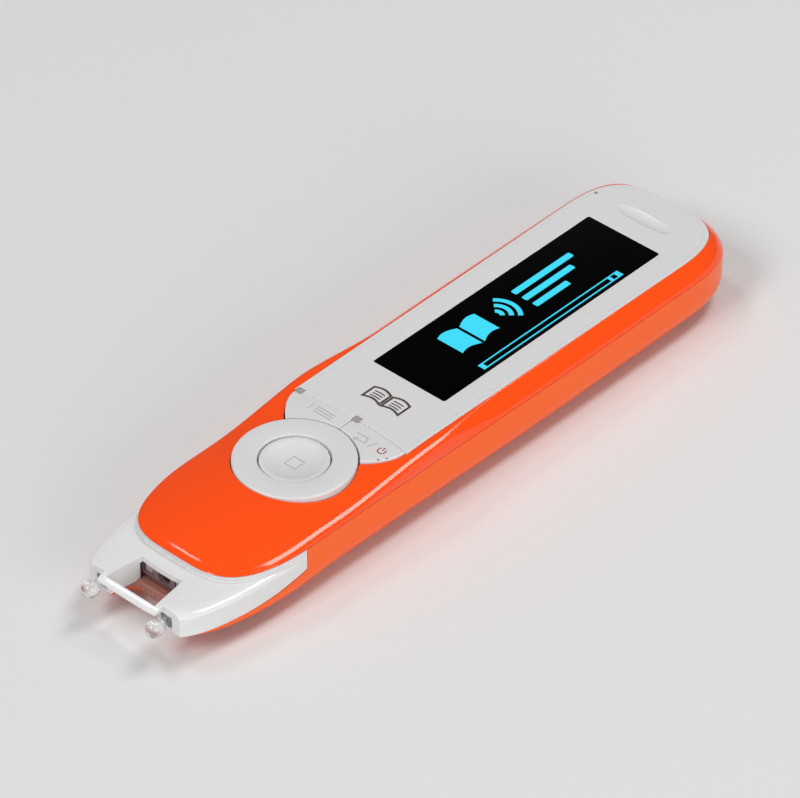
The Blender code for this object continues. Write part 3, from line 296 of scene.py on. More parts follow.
@dataclass(frozen=True)
class Moulded:
    """A moulded plastic with a fine grain and a slightly uneven gloss."""

    name: str
    colour: Colour
    roughness: float = 0.35
    specular: float = 0.5
    coat: float = 0.0
    mottle: float = 0.03
    uneven: float = 0.15
    coat_roughness: float = 0.06
    grain_scale: float = 5200.0
    grain_depth: float = 0.004 * MM
    cloud_scale: float = 70.0

    def material(self) -> Material:
        """Build the material.

        Returns:
            The material.
        """
        shader = Shader(self.name)
        cloud = shader.noise(self.cloud_scale, 4.0)
        shader.vary(self.colour, cloud, 1 - self.mottle, 1 + self.mottle)
        grain = shader.noise(self.grain_scale / 4, 3.0)
        shader.gloss(self.roughness, grain, 1 - self.uneven, 1 + self.uneven)
        shader.bump(shader.noise(self.grain_scale, 3.0), self.grain_depth)
        shader.fix({"Coat Weight": self.coat, "Coat Roughness": self.coat_roughness,
                    "Specular IOR Level": self.specular})
        return shader.material


@dataclass(frozen=True)
class ClearMoulded:
    """A clear, slightly milky plastic."""

    name: str
    colour: Colour
    roughness: float = 0.12
    clear: float = 0.8
    density: float = 1.49
    cloud_scale: float = 160.0
    haze_scale: float = 700.0
    ripple_scale: float = 420.0
    ripple_depth: float = 0.01 * MM

    def material(self) -> Material:
        """Build the material.

        Returns:
            The material.
        """
        shader = Shader(self.name)
        shader.vary(self.colour, shader.noise(self.cloud_scale, 4.0), 0.97, 1.03)
        shader.gloss(self.roughness, shader.noise(self.haze_scale, 3.0), 0.7, 1.3)
        shader.bump(shader.noise(self.ripple_scale, 3.0), self.ripple_depth)
        shader.fix({"Transmission Weight": self.clear, "IOR": self.density})
        return shader.material


@dataclass(frozen=True)
class Metal:
    """A drawn or stamped metal with fine lines along one axis."""

    name: str
    colour: Colour
    roughness: float = 0.3
    along: Point3 = (400.0, 9000.0, 9000.0)
    line_depth: float = 0.003 * MM

    def material(self) -> Material:
        """Build the material.

        Returns:
            The material.
        """
        shader = Shader(self.name)
        lines = shader.noise(1.0, 5.0, shader.stretched(self.along))
        shader.vary(self.colour, lines, 0.85, 1.1)
        shader.gloss(self.roughness, lines, 0.8, 1.3)
        shader.bump(lines, self.line_depth)
        shader.fix({"Metallic": 1.0})
        return shader.material


@dataclass(frozen=True)
class Board:
    """A circuit board: solder resist over tracks, with small bright pads."""

    name: str
    resist: Colour
    track: Colour
    pad: Colour
    track_scale: float = 260.0
    track_width: float = 0.035
    pad_scale: float = 420.0

    def material(self) -> Material:
        """Build the material.

        Returns:
            The material.
        """
        shader = Shader(self.name)
        tracks = shader.texture("ShaderNodeTexBrick", self.track_scale, offset=0.35)
        tracks.inputs["Mortar Size"].default_value = self.track_width
        for name, colour in (("Color1", self.resist), ("Color2", shade(self.resist, 1.3)),
                             ("Mortar", self.track)):
            tracks.inputs[name].default_value = (*colour, 1.0)
        cells = shader.texture("ShaderNodeTexVoronoi", self.pad_scale)
        spot = shader.spread(cells.outputs["Distance"], 1.0, 0.0, 0.16, 0.2)
        mix = shader.add("ShaderNodeMix", data_type="RGBA")
        shader.link(spot, mix.inputs[0])
        shader.link(tracks.outputs["Color"], mix.inputs[6])
        mix.inputs[7].default_value = (*self.pad, 1.0)
        shader.feed("Base Color", mix.outputs[2])
        shader.feed("Roughness", shader.spread(spot, 0.45, 0.25, 0.0, 1.0))
        shader.bump(tracks.outputs["Fac"], 0.01 * MM)
        return shader.material


@dataclass(frozen=True)
class Foil:
    """A soft foil with folds and creases."""

    name: str
    colour: Colour
    metallic: float
    roughness: float
    crease_depth: float = 0.05 * MM
    crease_scale: float = 180.0

    def material(self) -> Material:
        """Build the material.

        Returns:
            The material.
        """
        shader = Shader(self.name)
        creases = shader.texture("ShaderNodeTexVoronoi", self.crease_scale,
                                 feature="DISTANCE_TO_EDGE")
        shader.vary(self.colour, shader.noise(240.0, 4.0), 0.88, 1.08)
        shader.gloss(self.roughness, shader.noise(900.0, 2.0), 0.8, 1.2)
        shader.bump(creases.outputs["Distance"], self.crease_depth)
        shader.fix({"Metallic": self.metallic})
        return shader.material


@dataclass(frozen=True)
class Striped:
    """A flexible film with conductor stripes that run along it."""

    name: str
    film: Colour
    stripe: Colour
    scale: float = 260.0

    def material(self) -> Material:
        """Build the material.

        Returns:
            The material.
        """
        shader = Shader(self.name)
        bands = shader.texture("ShaderNodeTexWave", self.scale, bands_direction="Y")
        share = shader.spread(bands.outputs["Fac"], 0.0, 1.0, 0.45, 0.55)
        shader.feed("Base Color", shader.blend(share, self.film, self.stripe))
        shader.feed("Roughness", shader.spread(shader.noise(800.0), 0.3, 0.42))
        return shader.material


@dataclass(frozen=True)
class Glow:
    """Lit display dots."""

    name: str
    colour: Colour
    strength: float = 1.0
    pitch_scale: float = 1900.0

    def material(self) -> Material:
        """Build the material.

        Returns:
            The material.
        """
        shader = Shader(self.name)
        dots = shader.add("ShaderNodeMath", operation="MULTIPLY")
        for index, direction in enumerate(("X", "Y")):
            wave = shader.texture("ShaderNodeTexWave", self.pitch_scale,
                                  bands_direction=direction)
            shader.link(shader.spread(wave.outputs["Fac"], 0.0, 1.0, 0.0, 0.35),
                        dots.inputs[index])
        tone = shader.blend(dots.outputs["Value"], shade(self.colour, 0.78), self.colour)
        shader.feed("Emission Color", tone)
        shader.feed("Roughness", shader.spread(shader.noise(1500.0), 0.25, 0.4))
        shader.fix({"Base Color": (*shade(self.colour, 0.05), 1.0),
                    "Emission Strength": self.strength})
        return shader.material


@dataclass(frozen=True)
class Paper:
    """The studio's plain table."""

    name: str
    colour: Colour

    def material(self) -> Material:
        """Build the material.

        Returns:
            The material.
        """
        shader = Shader(self.name)
        shader.vary(self.colour, shader.noise(3.0, 2.0), 0.99, 1.01)
        shader.fix({"Roughness": 0.8, "Specular IOR Level": 0.1})
        return shader.material


class Palette:
    """Every finish, each made once, under the record's slot names and a few of its own."""

    def __init__(self) -> None:
        """Name the finishes."""
        finishes = [
            Moulded("orange_casing", (1.0, 0.076, 0.003), 0.1, 0.45, 0.1, mottle=0.008,
                    grain_depth=0.0002 * MM),
            # Painted light: a lighter, yellower copy of the casing orange for the lower shell's
            # brightly lit wall.
            Moulded("orange_lower_painted_light", (1.0, 0.125, 0.006), 0.2, 0.28, mottle=0.008,
                    grain_depth=0.0001 * MM),
            Moulded("pale_plastic", (0.67, 0.67, 0.67), 0.28, 0.4, mottle=0.006,
                    grain_depth=0.0002 * MM),
            ClearMoulded("clear_plastic", (1.0, 1.0, 1.0), 0.07, 0.3),
            # Painted shade: a dark red-brown that stands for the orange lip in shade below the
            # mouth.
            Moulded("sill_painted_shade", (0.42, 0.17, 0.13), 0.25),
            ClearMoulded("clear_foot", (0.98, 0.98, 0.98), 0.08, 0.85),
            Moulded("display_black", (0.0008, 0.0008, 0.001), 0.08, 0.04, mottle=0.2,
                    grain_depth=0.0005 * MM),
            Moulded("display_glass", (0.02, 0.024, 0.028), 0.1, 0.5),
            Striped("ribbon", (0.45, 0.2, 0.04), (0.7, 0.38, 0.12)),
            Metal("steel", (0.62, 0.61, 0.6)),
            Moulded("carrier_plastic", (0.1, 0.1, 0.11), 0.5),
            Moulded("smoked_window", (0.36, 0.33, 0.32), 0.15, 0.5),
            Moulded("baffle_plastic", (0.2, 0.14, 0.15), 0.3),
            Foil("contact_film", (0.6, 0.58, 0.52), 0.3, 0.35, 0.01 * MM),
            Board("circuit_board", (0.015, 0.13, 0.045), (0.03, 0.2, 0.07), (0.75, 0.6, 0.3)),
            Moulded("dark_plastic", (0.035, 0.024, 0.026), 0.42),
            Foil("battery_foil", (0.5, 0.52, 0.55), 0.7, 0.36),
            ClearMoulded("lens_glass", (0.75, 0.8, 0.9), 0.02, 0.95),
            Moulded("lamp", (0.36, 0.27, 0.27), 0.2, 0.5, 0.5),
            Glow("screen_light", (0.045, 0.72, 0.96), 1.05),
            Moulded("grey_ink", (0.42, 0.42, 0.42), 0.4, 0.3),
            Moulded("dark_ink", (0.075, 0.05, 0.045), 0.4, 0.3),
            Moulded("red_ink", (0.36, 0.01, 0.02), 0.4, 0.3),
            Paper("table_paper", (0.72, 0.72, 0.72)),
        ]
        self.materials = {finish.name: finish.material() for finish in finishes}

    def get(self, name: str) -> Material:
        """The material of that name."""
        return self.materials[name]


# Hand operations
class Bench:
    """The operations that every new piece is modelled with."""

    @staticmethod
    def clear() -> None:
        """Deselect everything, in object mode."""
        if bpy.context.object and bpy.context.object.mode != "OBJECT":
            bpy.ops.object.mode_set(mode="OBJECT")
        bpy.ops.object.select_all(action="DESELECT")

    @staticmethod
    def take(item: Piece) -> None:
        """Make one piece the only one selected.

        Args:
            item: The piece.
        """
        Bench.clear()
        item.select_set(True)
        bpy.context.view_layer.objects.active = item

    @staticmethod
    @contextmanager
    def editing(item: Piece) -> Iterator[None]:
        """Work on the whole of one piece in edit mode.

        Args:
            item: The piece.

        Yields:
            Nothing.
        """
        Bench.take(item)
        bpy.ops.object.mode_set(mode="EDIT")
        bpy.ops.mesh.select_all(action="SELECT")
        yield
        bpy.ops.object.mode_set(mode="OBJECT")

    @staticmethod
    def face_out() -> None:
        """Turn all faces of the piece in edit mode outwards."""
        bpy.ops.mesh.select_all(action="SELECT")
        bpy.ops.mesh.normals_make_consistent(inside=False)

    @staticmethod
    def placed() -> Piece:
        """The newest object, with its place, turn and scale applied."""
        bpy.ops.object.transform_apply(location=True, rotation=True, scale=True)
        return bpy.context.object

    @staticmethod
    def modify(item: Piece, kind: str, **settings: object) -> None:
        """Add a modifier and apply it.

        Args:
            item: The piece.
            kind: The modifier's type.
            settings: Its settings.
        """
        Bench.take(item)
        bpy.ops.object.modifier_add(type=kind)
        modifier = item.modifiers[-1]
        for key, value in settings.items():
            setattr(modifier, key, value)
        bpy.ops.object.modifier_apply(modifier=modifier.name)

    @staticmethod
    def combine(item: Piece, operation: Operation, *tools: Piece) -> Piece:
        """Join, cut or keep the overlap with tools, which are used up.

        Args:
            item: The piece.
            operation: What each tool does.
            tools: The tools.

        Returns:
            The piece.
        """
        for tool in tools:
            Bench.modify(item, "BOOLEAN", operation=operation.value, solver="EXACT", object=tool)
            bpy.data.objects.remove(tool)
        return item

    @staticmethod
    def settle(item: Piece) -> Piece:
        """Merge doubles, drop slivers and turn the faces outwards.

        Args:
            item: The piece.

        Returns:
            The piece.
        """
        with Bench.editing(item):
            bpy.ops.mesh.remove_doubles(threshold=MERGE)
            bpy.ops.mesh.dissolve_degenerate(threshold=MERGE)
            Bench.face_out()
        return item

    @staticmethod
    def round_edges(item: Piece, width: float, steps: int, angle: float) -> None:
        """Round the edges sharper than an angle.

        Args:
            item: The piece.
            width: The bevel's width.
            steps: Its segments.
            angle: The angle in degrees.
        """
        Bench.modify(item, "BEVEL", width=width, segments=steps, limit_method="ANGLE",
                     angle_limit=math.radians(angle), use_clamp_overlap=True,
                     harden_normals=False, miter_outer="MITER_ARC")

    @staticmethod
    def smooth(item: Piece, angle: float) -> None:
        """Shade a piece smooth up to an angle in degrees."""
        Bench.take(item)
        bpy.ops.object.shade_smooth_by_angle(angle=math.radians(angle))

    @staticmethod
    def box(low: Point3, high: Point3) -> Piece:
        """A block between two corners.

        Args:
            low: The lowest corner.
            high: The highest corner.

        Returns:
            The block.
        """
        Bench.clear()
        middle = tuple((a + b) / 2 for a, b in zip(low, high))
        bpy.ops.mesh.primitive_cube_add(size=1.0, location=middle)
        bpy.context.object.scale = tuple(b - a for a, b in zip(low, high))
        return Bench.placed()

    @staticmethod
    def bar(start: Point3, end: Point3, radius: float, steps: int = 32) -> Piece:
        """A round bar between two points.

        Args:
            start: One end.
            end: The other end.
            radius: Its radius.
            steps: Its sides.

        Returns:
            The bar.
        """
        Bench.clear()
        first, last = Vector(start), Vector(end)
        turn = (last - first).to_track_quat("Z", "Y").to_euler()
        bpy.ops.mesh.primitive_cylinder_add(vertices=steps, radius=radius,
                                            depth=(last - first).length,
                                            location=(first + last) / 2, rotation=turn)
        return Bench.placed()

    @staticmethod
    def ball(centre: Point3, radius: float, steps: int = 48) -> Piece:
        """A ball.

        Args:
            centre: Its centre.
            radius: Its radius.
            steps: Its segments.

        Returns:
            The ball.
        """
        Bench.clear()
        bpy.ops.mesh.primitive_uv_sphere_add(segments=steps, ring_count=steps // 2,
                                             radius=radius, location=centre,
                                             rotation=(0.0, math.pi / 2, 0.0))
        return Bench.placed()

    @staticmethod
    def plate(outline: Sequence[Point2], low: float, high: float) -> Piece:
        """A flat plate: a circle's points set on an outline, then extruded.

        Args:
            outline: (x, y) points.
            low: The lower height.
            high: The upper height.

        Returns:
            The plate.
        """
        Bench.clear()
        bpy.ops.mesh.primitive_circle_add(vertices=len(outline), radius=1.0, fill_type="NGON",
                                          location=(0.0, 0.0, 0.0))
        item = bpy.context.object
        for vertex, (x, y) in zip(item.data.vertices, outline):
            vertex.co = (x, y, low)
        with Bench.editing(item):
            bpy.ops.mesh.extrude_region_move(
                TRANSFORM_OT_translate={"value": (0.0, 0.0, high - low)})
            Bench.face_out()
        return item

    @staticmethod
    def groove(item: Piece, outer: Sequence[Point2], inner: Sequence[Point2],
               top: float, depth: float) -> None:
        """Cut a fine groove into a plate's upper face.

        Args:
            item: The plate.
            outer: The groove's outer line.
            inner: Its inner line.
            top: The height of the upper face.
            depth: The groove's depth.
        """
        tool = Bench.plate(outer, top - depth, top + MM)
        Bench.combine(tool, Operation.CUT, Bench.plate(inner, top - 2 * depth, top + 2 * MM))
        Bench.combine(item, Operation.CUT, tool)

    @staticmethod
    def upright(axis: int, outline: Sequence[Point2], low: float, high: float) -> Piece:
        """A plate whose outline stands across the X or the Y axis.

        Args:
            axis: 0 for an outline of (y, z) points, 1 for one of (x, z) points.
            outline: The points.
            low: The plate's lower place along the axis.
            high: Its upper place along the axis.

        Returns:
            The plate.
        """
        item = Bench.plate(outline, low, high)
        for vertex in item.data.vertices:
            first, height, along = vertex.co
            vertex.co = (along, first, height) if axis == 0 else (first, along, height)
        with Bench.editing(item):
            Bench.face_out()
        return item

    @staticmethod
    def turned(profile: Sequence[Point2], centre: Point2, steps: int = 128) -> Piece:
        """A closed profile turned about an upright line: a circle, extruded and resized.

        Args:
            profile: (radius, height) points, all round.
            centre: The line's place.
            steps: The circle's sides.

        Returns:
            The turned piece.
        """
        Bench.clear()
        radius, height = profile[0]
        bpy.ops.mesh.primitive_circle_add(vertices=steps, radius=max(radius, TINY),
                                          fill_type="NOTHING", location=(*centre, height))
        item = Bench.placed()
        with Bench.editing(item):
            for next_radius, next_height in list(profile[1:]) + [profile[0]]:
                bpy.ops.mesh.extrude_edges_move(
                    TRANSFORM_OT_translate={"value": (0.0, 0.0, next_height - height)})
                share = max(next_radius, TINY) / max(radius, TINY)
                bpy.ops.transform.resize(value=(share, share, 1.0),
                                         center_override=(*centre, next_height))
                radius, height = next_radius, next_height
            bpy.ops.mesh.select_all(action="SELECT")
            bpy.ops.mesh.remove_doubles(threshold=2 * TINY)
            Bench.face_out()
        return item

    @staticmethod
    def loft(columns: Sequence[Sequence[Point3]]) -> Piece:
        """A closed solid: a grid set on half columns, then mirrored across the middle.

        Args:
            columns: Half columns of points, from centre line to centre line.

        Returns:
            The solid.
        """
        Bench.clear()
        bpy.ops.mesh.primitive_grid_add(x_subdivisions=len(columns[0]) - 1,
                                        y_subdivisions=len(columns) - 1, size=1.0,
                                        location=(0.0, 0.0, 0.0))
        item = bpy.context.object
        flat = [value for column in columns for point in column for value in point]
        item.data.vertices.foreach_set("co", flat)
        item.data.update()
        Bench.modify(item, "MIRROR", use_axis=(False, True, False), use_mirror_merge=True,
                     merge_threshold=MIRROR_MERGE)
        with Bench.editing(item):
            bpy.ops.mesh.remove_doubles(threshold=MERGE)
            bpy.ops.mesh.quads_convert_to_tris()
            Bench.face_out()
        return item

    @staticmethod
    def stroke(points: Sequence[Point2], width: float, low: float, high: float,
               closed: bool = False) -> Piece:
        """A printed line with mitred corners.

        Args:
            points: The middle of the line.
            width: Its width.
            low: The print's lower height.
            high: The print's upper height.
            closed: Whether the line comes back to its start.

        Returns:
            The line as a thin plate.
        """
        sides = (Bench.offset(points, width / 2, closed), Bench.offset(points, -width / 2, closed))
        if not closed:
            return Bench.plate(sides[0] + sides[1][::-1], low, high)
        widest = max(sides, key=lambda side: max(p[0] for p in side) - min(p[0] for p in side))
        other = sides[0] if widest is sides[1] else sides[1]
        ring = Bench.plate(widest, low, high)
        return Bench.combine(ring, Operation.CUT, Bench.plate(other, low - MM, high + MM))

    @staticmethod
    def offset(points: Sequence[Point2], distance: float, closed: bool) -> list[Point2]:
        """A line moved sideways, with mitred corners.

        Args:
            points: The line.
            distance: How far to its left.
            closed: Whether it comes back to its start.

        Returns:
            The moved line.
        """
        moved = []
        count = len(points)
        for index, point in enumerate(points):
            before = points[index - 1] if index or closed else None
            after = points[(index + 1) % count] if index < count - 1 or closed else None
            normals = []
            for a, b in ((before, point), (point, after)):
                if a is not None and b is not None:
                    step = Vector((b[0] - a[0], b[1] - a[1])).normalized()
                    normals.append(Vector((-step.y, step.x)))
            middle = sum(normals, Vector((0.0, 0.0))).normalized()
            reach = distance / max(0.3, middle.dot(normals[0]))
            moved.append((point[0] + middle.x * reach, point[1] + middle.y * reach))
        return moved

    @staticmethod
    def one(name: str, items: Sequence[Piece]) -> Piece:
        """Make several objects one piece.

        Args:
            name: The piece's name.
            items: The objects.

        Returns:
            The piece.
        """
        Bench.take(items[0])
        for item in items[1:]:
            item.select_set(True)
        if len(items) > 1:
            bpy.ops.object.join()
        items[0].name = name
        return items[0]


# The pen's form
def eased(share: float) -> float:
    """A soft step from 0 to 1."""
    share = min(max(share, 0.0), 1.0)
    return share * share * (3 - 2 * share)


def eased_between(place: float, start: float, end: float) -> float:
    """A soft step from 0 at the start to 1 at the end."""
    return eased((place - start) / (end - start))


def inward(point: PlanPoint, inset: float) -> Point2:
    """A plan point moved inwards, at most as far as the middle."""
    x, y, normal = point
    return x - normal.x * inset, max(y - normal.y * inset, 0.0)


def quarter(radius: float, top: float, edge: float, steps: int) -> list[Point2]:
    """The rounded rim of a turned profile, from its side up to its top.

    Args:
        radius: The side's radius.
        top: The top's height.
        edge: The rounding, below 0 for a rim that faces the middle.
        steps: The number of steps.

    Returns:
        (radius, height) points.
    """
    angles = [math.pi / 2 * step / steps for step in range(steps + 1)]
    return [(radius - edge * (1 - math.cos(angle)), top - abs(edge) * (1 - math.sin(angle)))
            for angle in angles]


@dataclass(frozen=True)
class PenForm:
    """The pen's outer form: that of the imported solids, with a finer edge and a notched lip."""

    rear_x: float = 67.5 * MM
    front_x: float = -67.5 * MM
    height: float = 13.2 * MM
    rear_half: float = 15.0 * MM
    front_half: float = 14.25 * MM
    seam: float = 10.1 * MM
    wall: float = 1.4 * MM
    over: float = 3.0 * MM
    taper_start_x: float = 26.5 * MM
    taper_end_x: float = -38.0 * MM
    rear_round: float = 15.5 * MM
    casing_front_x: float = -54.25 * MM
    nose_front_x: float = -65.3 * MM
    lip_front_x: float = -63.1 * MM
    cavity_front_x: float = -58.5 * MM
    step_x: float = -39.2 * MM
    rear_powers: Point2 = (2.9, 3.6)
    casing_powers: Point2 = (2.2, 3.85)
    nose_powers: Point2 = (2.1, 5.2)
    crown_start_x: float = -8.5 * MM
    crown_full_x: float = -31.0 * MM
    crown_drop: float = 2.15 * MM
    dome_start_x: float = -35.5 * MM
    dome_fall: float = 2.4 * MM
    crease_front: float = 0.68 * MM
    crease_rear: float = 2.3 * MM
    crease_start_x: float = -11.0 * MM
    crease_full_x: float = 8.0 * MM
    band_front: float = 0.8 * MM
    band_rear: float = 0.1 * MM
    band_tilts: Point2 = (math.radians(28.5), math.radians(19.5))
    band_blend: float = 0.12 * MM
    shoulder_bow: float = math.radians(18.0)
    shoulder_least: float = 0.1 * MM
    deck_start_x: float = -17.0 * MM
    deck_ramp: float = 3.0 * MM
    ceiling_rise: float = 0.6 * MM
    thinnest_top: float = 0.35 * MM
    panel_thickness: float = 1.2 * MM
    deck_thickness: float = 1.1 * MM
    seat: float = 0.3 * MM
    belly_radius: float = 5.9 * MM
    belly_tip_radius: float = 1.0 * MM
    belly_rise_x: float = -33.0 * MM
    belly_rise: float = 4.3 * MM
    belly_power: float = 1.5
    panel_front_x: float = -12.85 * MM
    panel_bow: float = 1.05 * MM
    panel_rear_inset: float = 2.05 * MM
    panel_half: float = 12.7 * MM
    key_half: float = 11.9 * MM
    key_bulge: float = 4.05 * MM
    key_meet: float = 8.1 * MM
    side_gap: float = 0.2 * MM
    window_sides: Point2 = mm(11.3, -0.48)
    ring_x: float = -27.0 * MM
    ring_radius: float = 10.1 * MM
    ring_gap: float = 0.25 * MM
    ring_top: float = 13.35 * MM
    lip_height: float = 4.7 * MM
    lip_notch: Point3 = mm(-58.0, 5.9, 2.0)
    step_bottom: float = 6.1 * MM
    step_fade: float = 13.0 * MM
    display_centre: Point2 = mm(26.4, 0.0)
    display_size: Point2 = mm(53.25, 15.5)
    display_corner: float = 0.4 * MM
    screw_places: tuple[Point2, ...] = (mm(-43.0, 8.7), mm(-43.0, -8.7), mm(54.5, 10.4),
                                        mm(54.5, -10.4))
    foot_side: float = 7.0 * MM
    foot_height: float = 6.65 * MM
    print_sink: float = 0.02 * MM

    @property
    def deck_top(self) -> float:
        """The shelf under the face panel."""
        return self.height - self.panel_thickness - self.seat

    @property
    def deck_bottom(self) -> float:
        """The shelf's underside."""
        return self.deck_top - self.deck_thickness

    def half_width(self, x: float) -> float:
        """The half width between the rounded ends."""
        share = eased_between(x, self.taper_start_x, self.taper_end_x)
        return self.rear_half + (self.front_half - self.rear_half) * share

    @staticmethod
    def round_end(centre: float, reach: float, half: float, powers: Point2,
                  steps: int) -> list[PlanPoint]:
        """A rounded end from its tip to its full width.

        Args:
            centre: Where the rounding starts.
            reach: Its length.
            half: The half width.
            powers: Its two powers, along and across.
            steps: The number of steps.

        Returns:
            Points with their outward normals.
        """
        points = []
        for step in range(steps + 1):
            angle = math.pi / 2 * step / steps
            u = math.cos(angle) ** (2 / powers[0]) if step < steps else 0.0
            v = math.sin(angle) ** (2 / powers[1])
            slope = Vector((powers[0] * u ** (powers[0] - 1) / reach,
                            powers[1] * v ** (powers[1] - 1) / half))
            points.append((centre + reach * u, half * v, slope.normalized()))
        return points

    def plan(self, tip_x: float, powers: Point2, inset: float = 0.0, sides: int = 44,
             steps: int = 34) -> list[PlanPoint]:
        """Half the outline from the rear tip to the front tip.

        Args:
            tip_x: The front tip.
            powers: The front's powers.
            inset: How far inwards it is moved.
            sides: Steps along the side.
            steps: Steps round each end.

        Returns:
            Points with their outward normals.
        """
        rear = self.round_end(self.rear_x - self.rear_round, self.rear_round, self.rear_half,
                              self.rear_powers, steps)
        front = self.round_end(0.0, self.taper_end_x - tip_x, self.front_half, powers, steps)
        points = list(rear)
        for step in range(1, sides):
            x = rear[-1][0] + (self.taper_end_x - rear[-1][0]) * step / sides
            points.append((x, self.half_width(x), Vector((0.0, 1.0))))
        points += [(self.taper_end_x - x, y, Vector((-n.x, n.y))) for x, y, n in reversed(front)]
        return [(*inward(point, inset), point[2]) for point in points]

    def top_height(self, x: float, y: float) -> float:
        """The upper casing's outside, without its rounded edge.

        Args:
            x: The place along the pen.
            y: The place across it.

        Returns:
            The height.
        """
        fall = max(0.0, (x - self.dome_start_x) / (self.casing_front_x - self.dome_start_x))
        crown = eased_between(x, self.crown_start_x, self.crown_full_x)
        return (self.height - self.dome_fall * fall ** 2
                - self.crown_drop * crown * (y / self.front_half) ** 2)

    def ceiling(self, x: float, y: float) -> float:
        """The upper casing's inside.

        Args:
            x: The place along the pen.
            y: The place across it.

        Returns:
            The height.
        """
        share = eased((x - self.deck_start_x) / self.deck_ramp)
        depth = self.wall + (self.height - self.deck_bottom - self.wall) * share
        top = self.top_height(x, y)
        if x < self.step_x - self.over:
            return top - depth
        return max(top - depth, min(self.seam + self.ceiling_rise, top - self.thinnest_top))

    def belly(self, x: float) -> float:
        """The underside's height."""
        share = max(0.0, (x - self.belly_rise_x) / (self.nose_front_x - self.belly_rise_x))
        return self.belly_rise * share ** self.belly_power

    def belly_round(self, x: float) -> float:
        """The underside's edge radius.

        Args:
            x: The place along the pen.

        Returns:
            The radius.
        """
        share = (x - self.belly_rise_x) / (self.lip_front_x - self.belly_rise_x)
        share = min(max(share, 0.0), 1.0)
        return self.belly_radius + (self.belly_tip_radius - self.belly_radius) * share

    def bowed(self, x: float, y: float) -> Point2:
        """A place on the joint between the panel and the keys."""
        return x - self.panel_bow * (y / self.panel_half) ** 2, y

    def panel_outline(self, grow: float = 0.0, front: float = 0.0,
                      steps: int = 36) -> list[Point2]:
        """The face panel's outline.

        Args:
            grow: How far it is moved outwards.
            front: How much further its front is moved.
            steps: Steps round its rear end.

        Returns:
            The closed outline.
        """
        reach = self.rear_round - self.panel_rear_inset + grow
        rear = self.round_end(self.rear_x - self.rear_round, reach, self.panel_half + grow,
                              self.rear_powers, steps)
        points = [(x, y) for x, y, _ in rear]
        side = self.half_width(self.panel_front_x) - (self.rear_half - self.panel_half) + grow
        for step in range(19):
            points.append(self.bowed(self.panel_front_x - grow - front, side * (1 - step / 18)))
        return points + [(x, -y) for x, y in reversed(points) if y > TINY]

    def key_outline(self, grow: float = 0.0, inner: float = 0.0) -> list[Point2]:
        """One key's outline, on the +Y side.

        Args:
            grow: How far it is moved outwards.
            inner: Where its inner edge is.

        Returns:
            The closed outline.
        """
        radius = self.ring_radius + self.ring_gap - grow
        meet = self.key_meet + grow
        rear = self.panel_front_x - self.side_gap + grow
        start = Vector(self.bowed(rear, self.key_half + grow))
        bend = Vector((rear - grow - self.key_bulge, self.key_half + grow))
        end = Vector((self.ring_x + math.sqrt(radius ** 2 - meet ** 2), meet))
        points = [self.bowed(rear, inner + (start.y - inner) * step / 12) for step in range(12)]
        points += [(place.x, place.y) for place in self.curve(start, bend, end, 20)]
        first, last = math.asin(meet / radius), math.asin(inner / radius)
        for step in range(1, 25):
            angle = first + (last - first) * step / 24
            points.append((self.ring_x + radius * math.cos(angle), radius * math.sin(angle)))
        return points

    def step_line(self, x: float) -> float:
        """The joint between the clear nose and the lower casing."""
        share = min(max((self.step_x - x) / self.step_fade, 0.0), 1.0)
        return self.lip_height + (self.step_bottom - self.lip_height) * (1 - share) ** 2

    def nose_side(self, shift: float, low_shift: float, top: float) -> list[Point2]:
        """The side profile in front of the step, above the joint.

        Args:
            shift: How far its rear end is moved.
            low_shift: How far its lower line is moved.
            top: Its upper height.

        Returns:
            (x, z) points.
        """
        start, end = self.step_x + shift, self.front_x - self.over
        places = [start + (end - start) * step / 40 for step in range(41)]
        line = [(x, self.step_line(x) + low_shift) for x in places]
        return line + [(end, top), (start, top)]

    @staticmethod
    def rounded_top(points: Sequence[PlanPoint], bottom: float,
                    height: Callable[[float, float], float], radius: Callable[[float], float],
                    arcs: int, rungs: Sequence[float], wide: float = 1.0) -> list[list[Point3]]:
        """Half columns of a flat-bottomed solid with rounded upper edges.

        Args:
            points: The plan outline.
            bottom: The lower height.
            height: The upper surface.
            radius: The edge's radius.
            arcs: Steps round the edge.
            rungs: Shares of the width where the top has points.
            wide: How many times wider than high a level edge is rounded.

        Returns:
            The columns.
        """
        columns = []
        for point in points:
            x, y, normal = point
            r = radius(x)
            inner = inward(point, r)
            reach = r / arcs
            slope = (height(inner[0] - normal.x * reach, inner[1] - normal.y * reach)
                     - height(*inner)) / reach
            start = math.pi / 2 - math.atan(slope)
            top = inward(point, wide * r * (1 - math.cos(start)))
            middle = height(*top) - r * math.sin(start)
            column = [(x, 0.0, bottom), (x, y, bottom)]
            for arc in range(arcs + 1):
                angle = start * arc / arcs
                column.append((*inward(point, wide * r * (1 - math.cos(angle))),
                               middle + r * math.sin(angle)))
            column += [(top[0], top[1] * rung, height(top[0], top[1] * rung)) for rung in rungs]
            columns.append(column)
        return columns

    def crease_share(self, x: float) -> float:
        """How far the crease has moved from its front place to its rear place."""
        return eased_between(x, self.crease_start_x, self.crease_full_x)

    def band(self, x: float) -> Point2:
        """Where the sloping band between shoulder and top starts and ends.

        Args:
            x: The place along the pen.

        Returns:
            Both insets from the edge.
        """
        share = self.crease_share(x)
        middle = self.crease_front + (self.crease_rear - self.crease_front) * share
        half = (self.band_front + (self.band_rear - self.band_front) * share) / 2
        return middle - half, middle + half

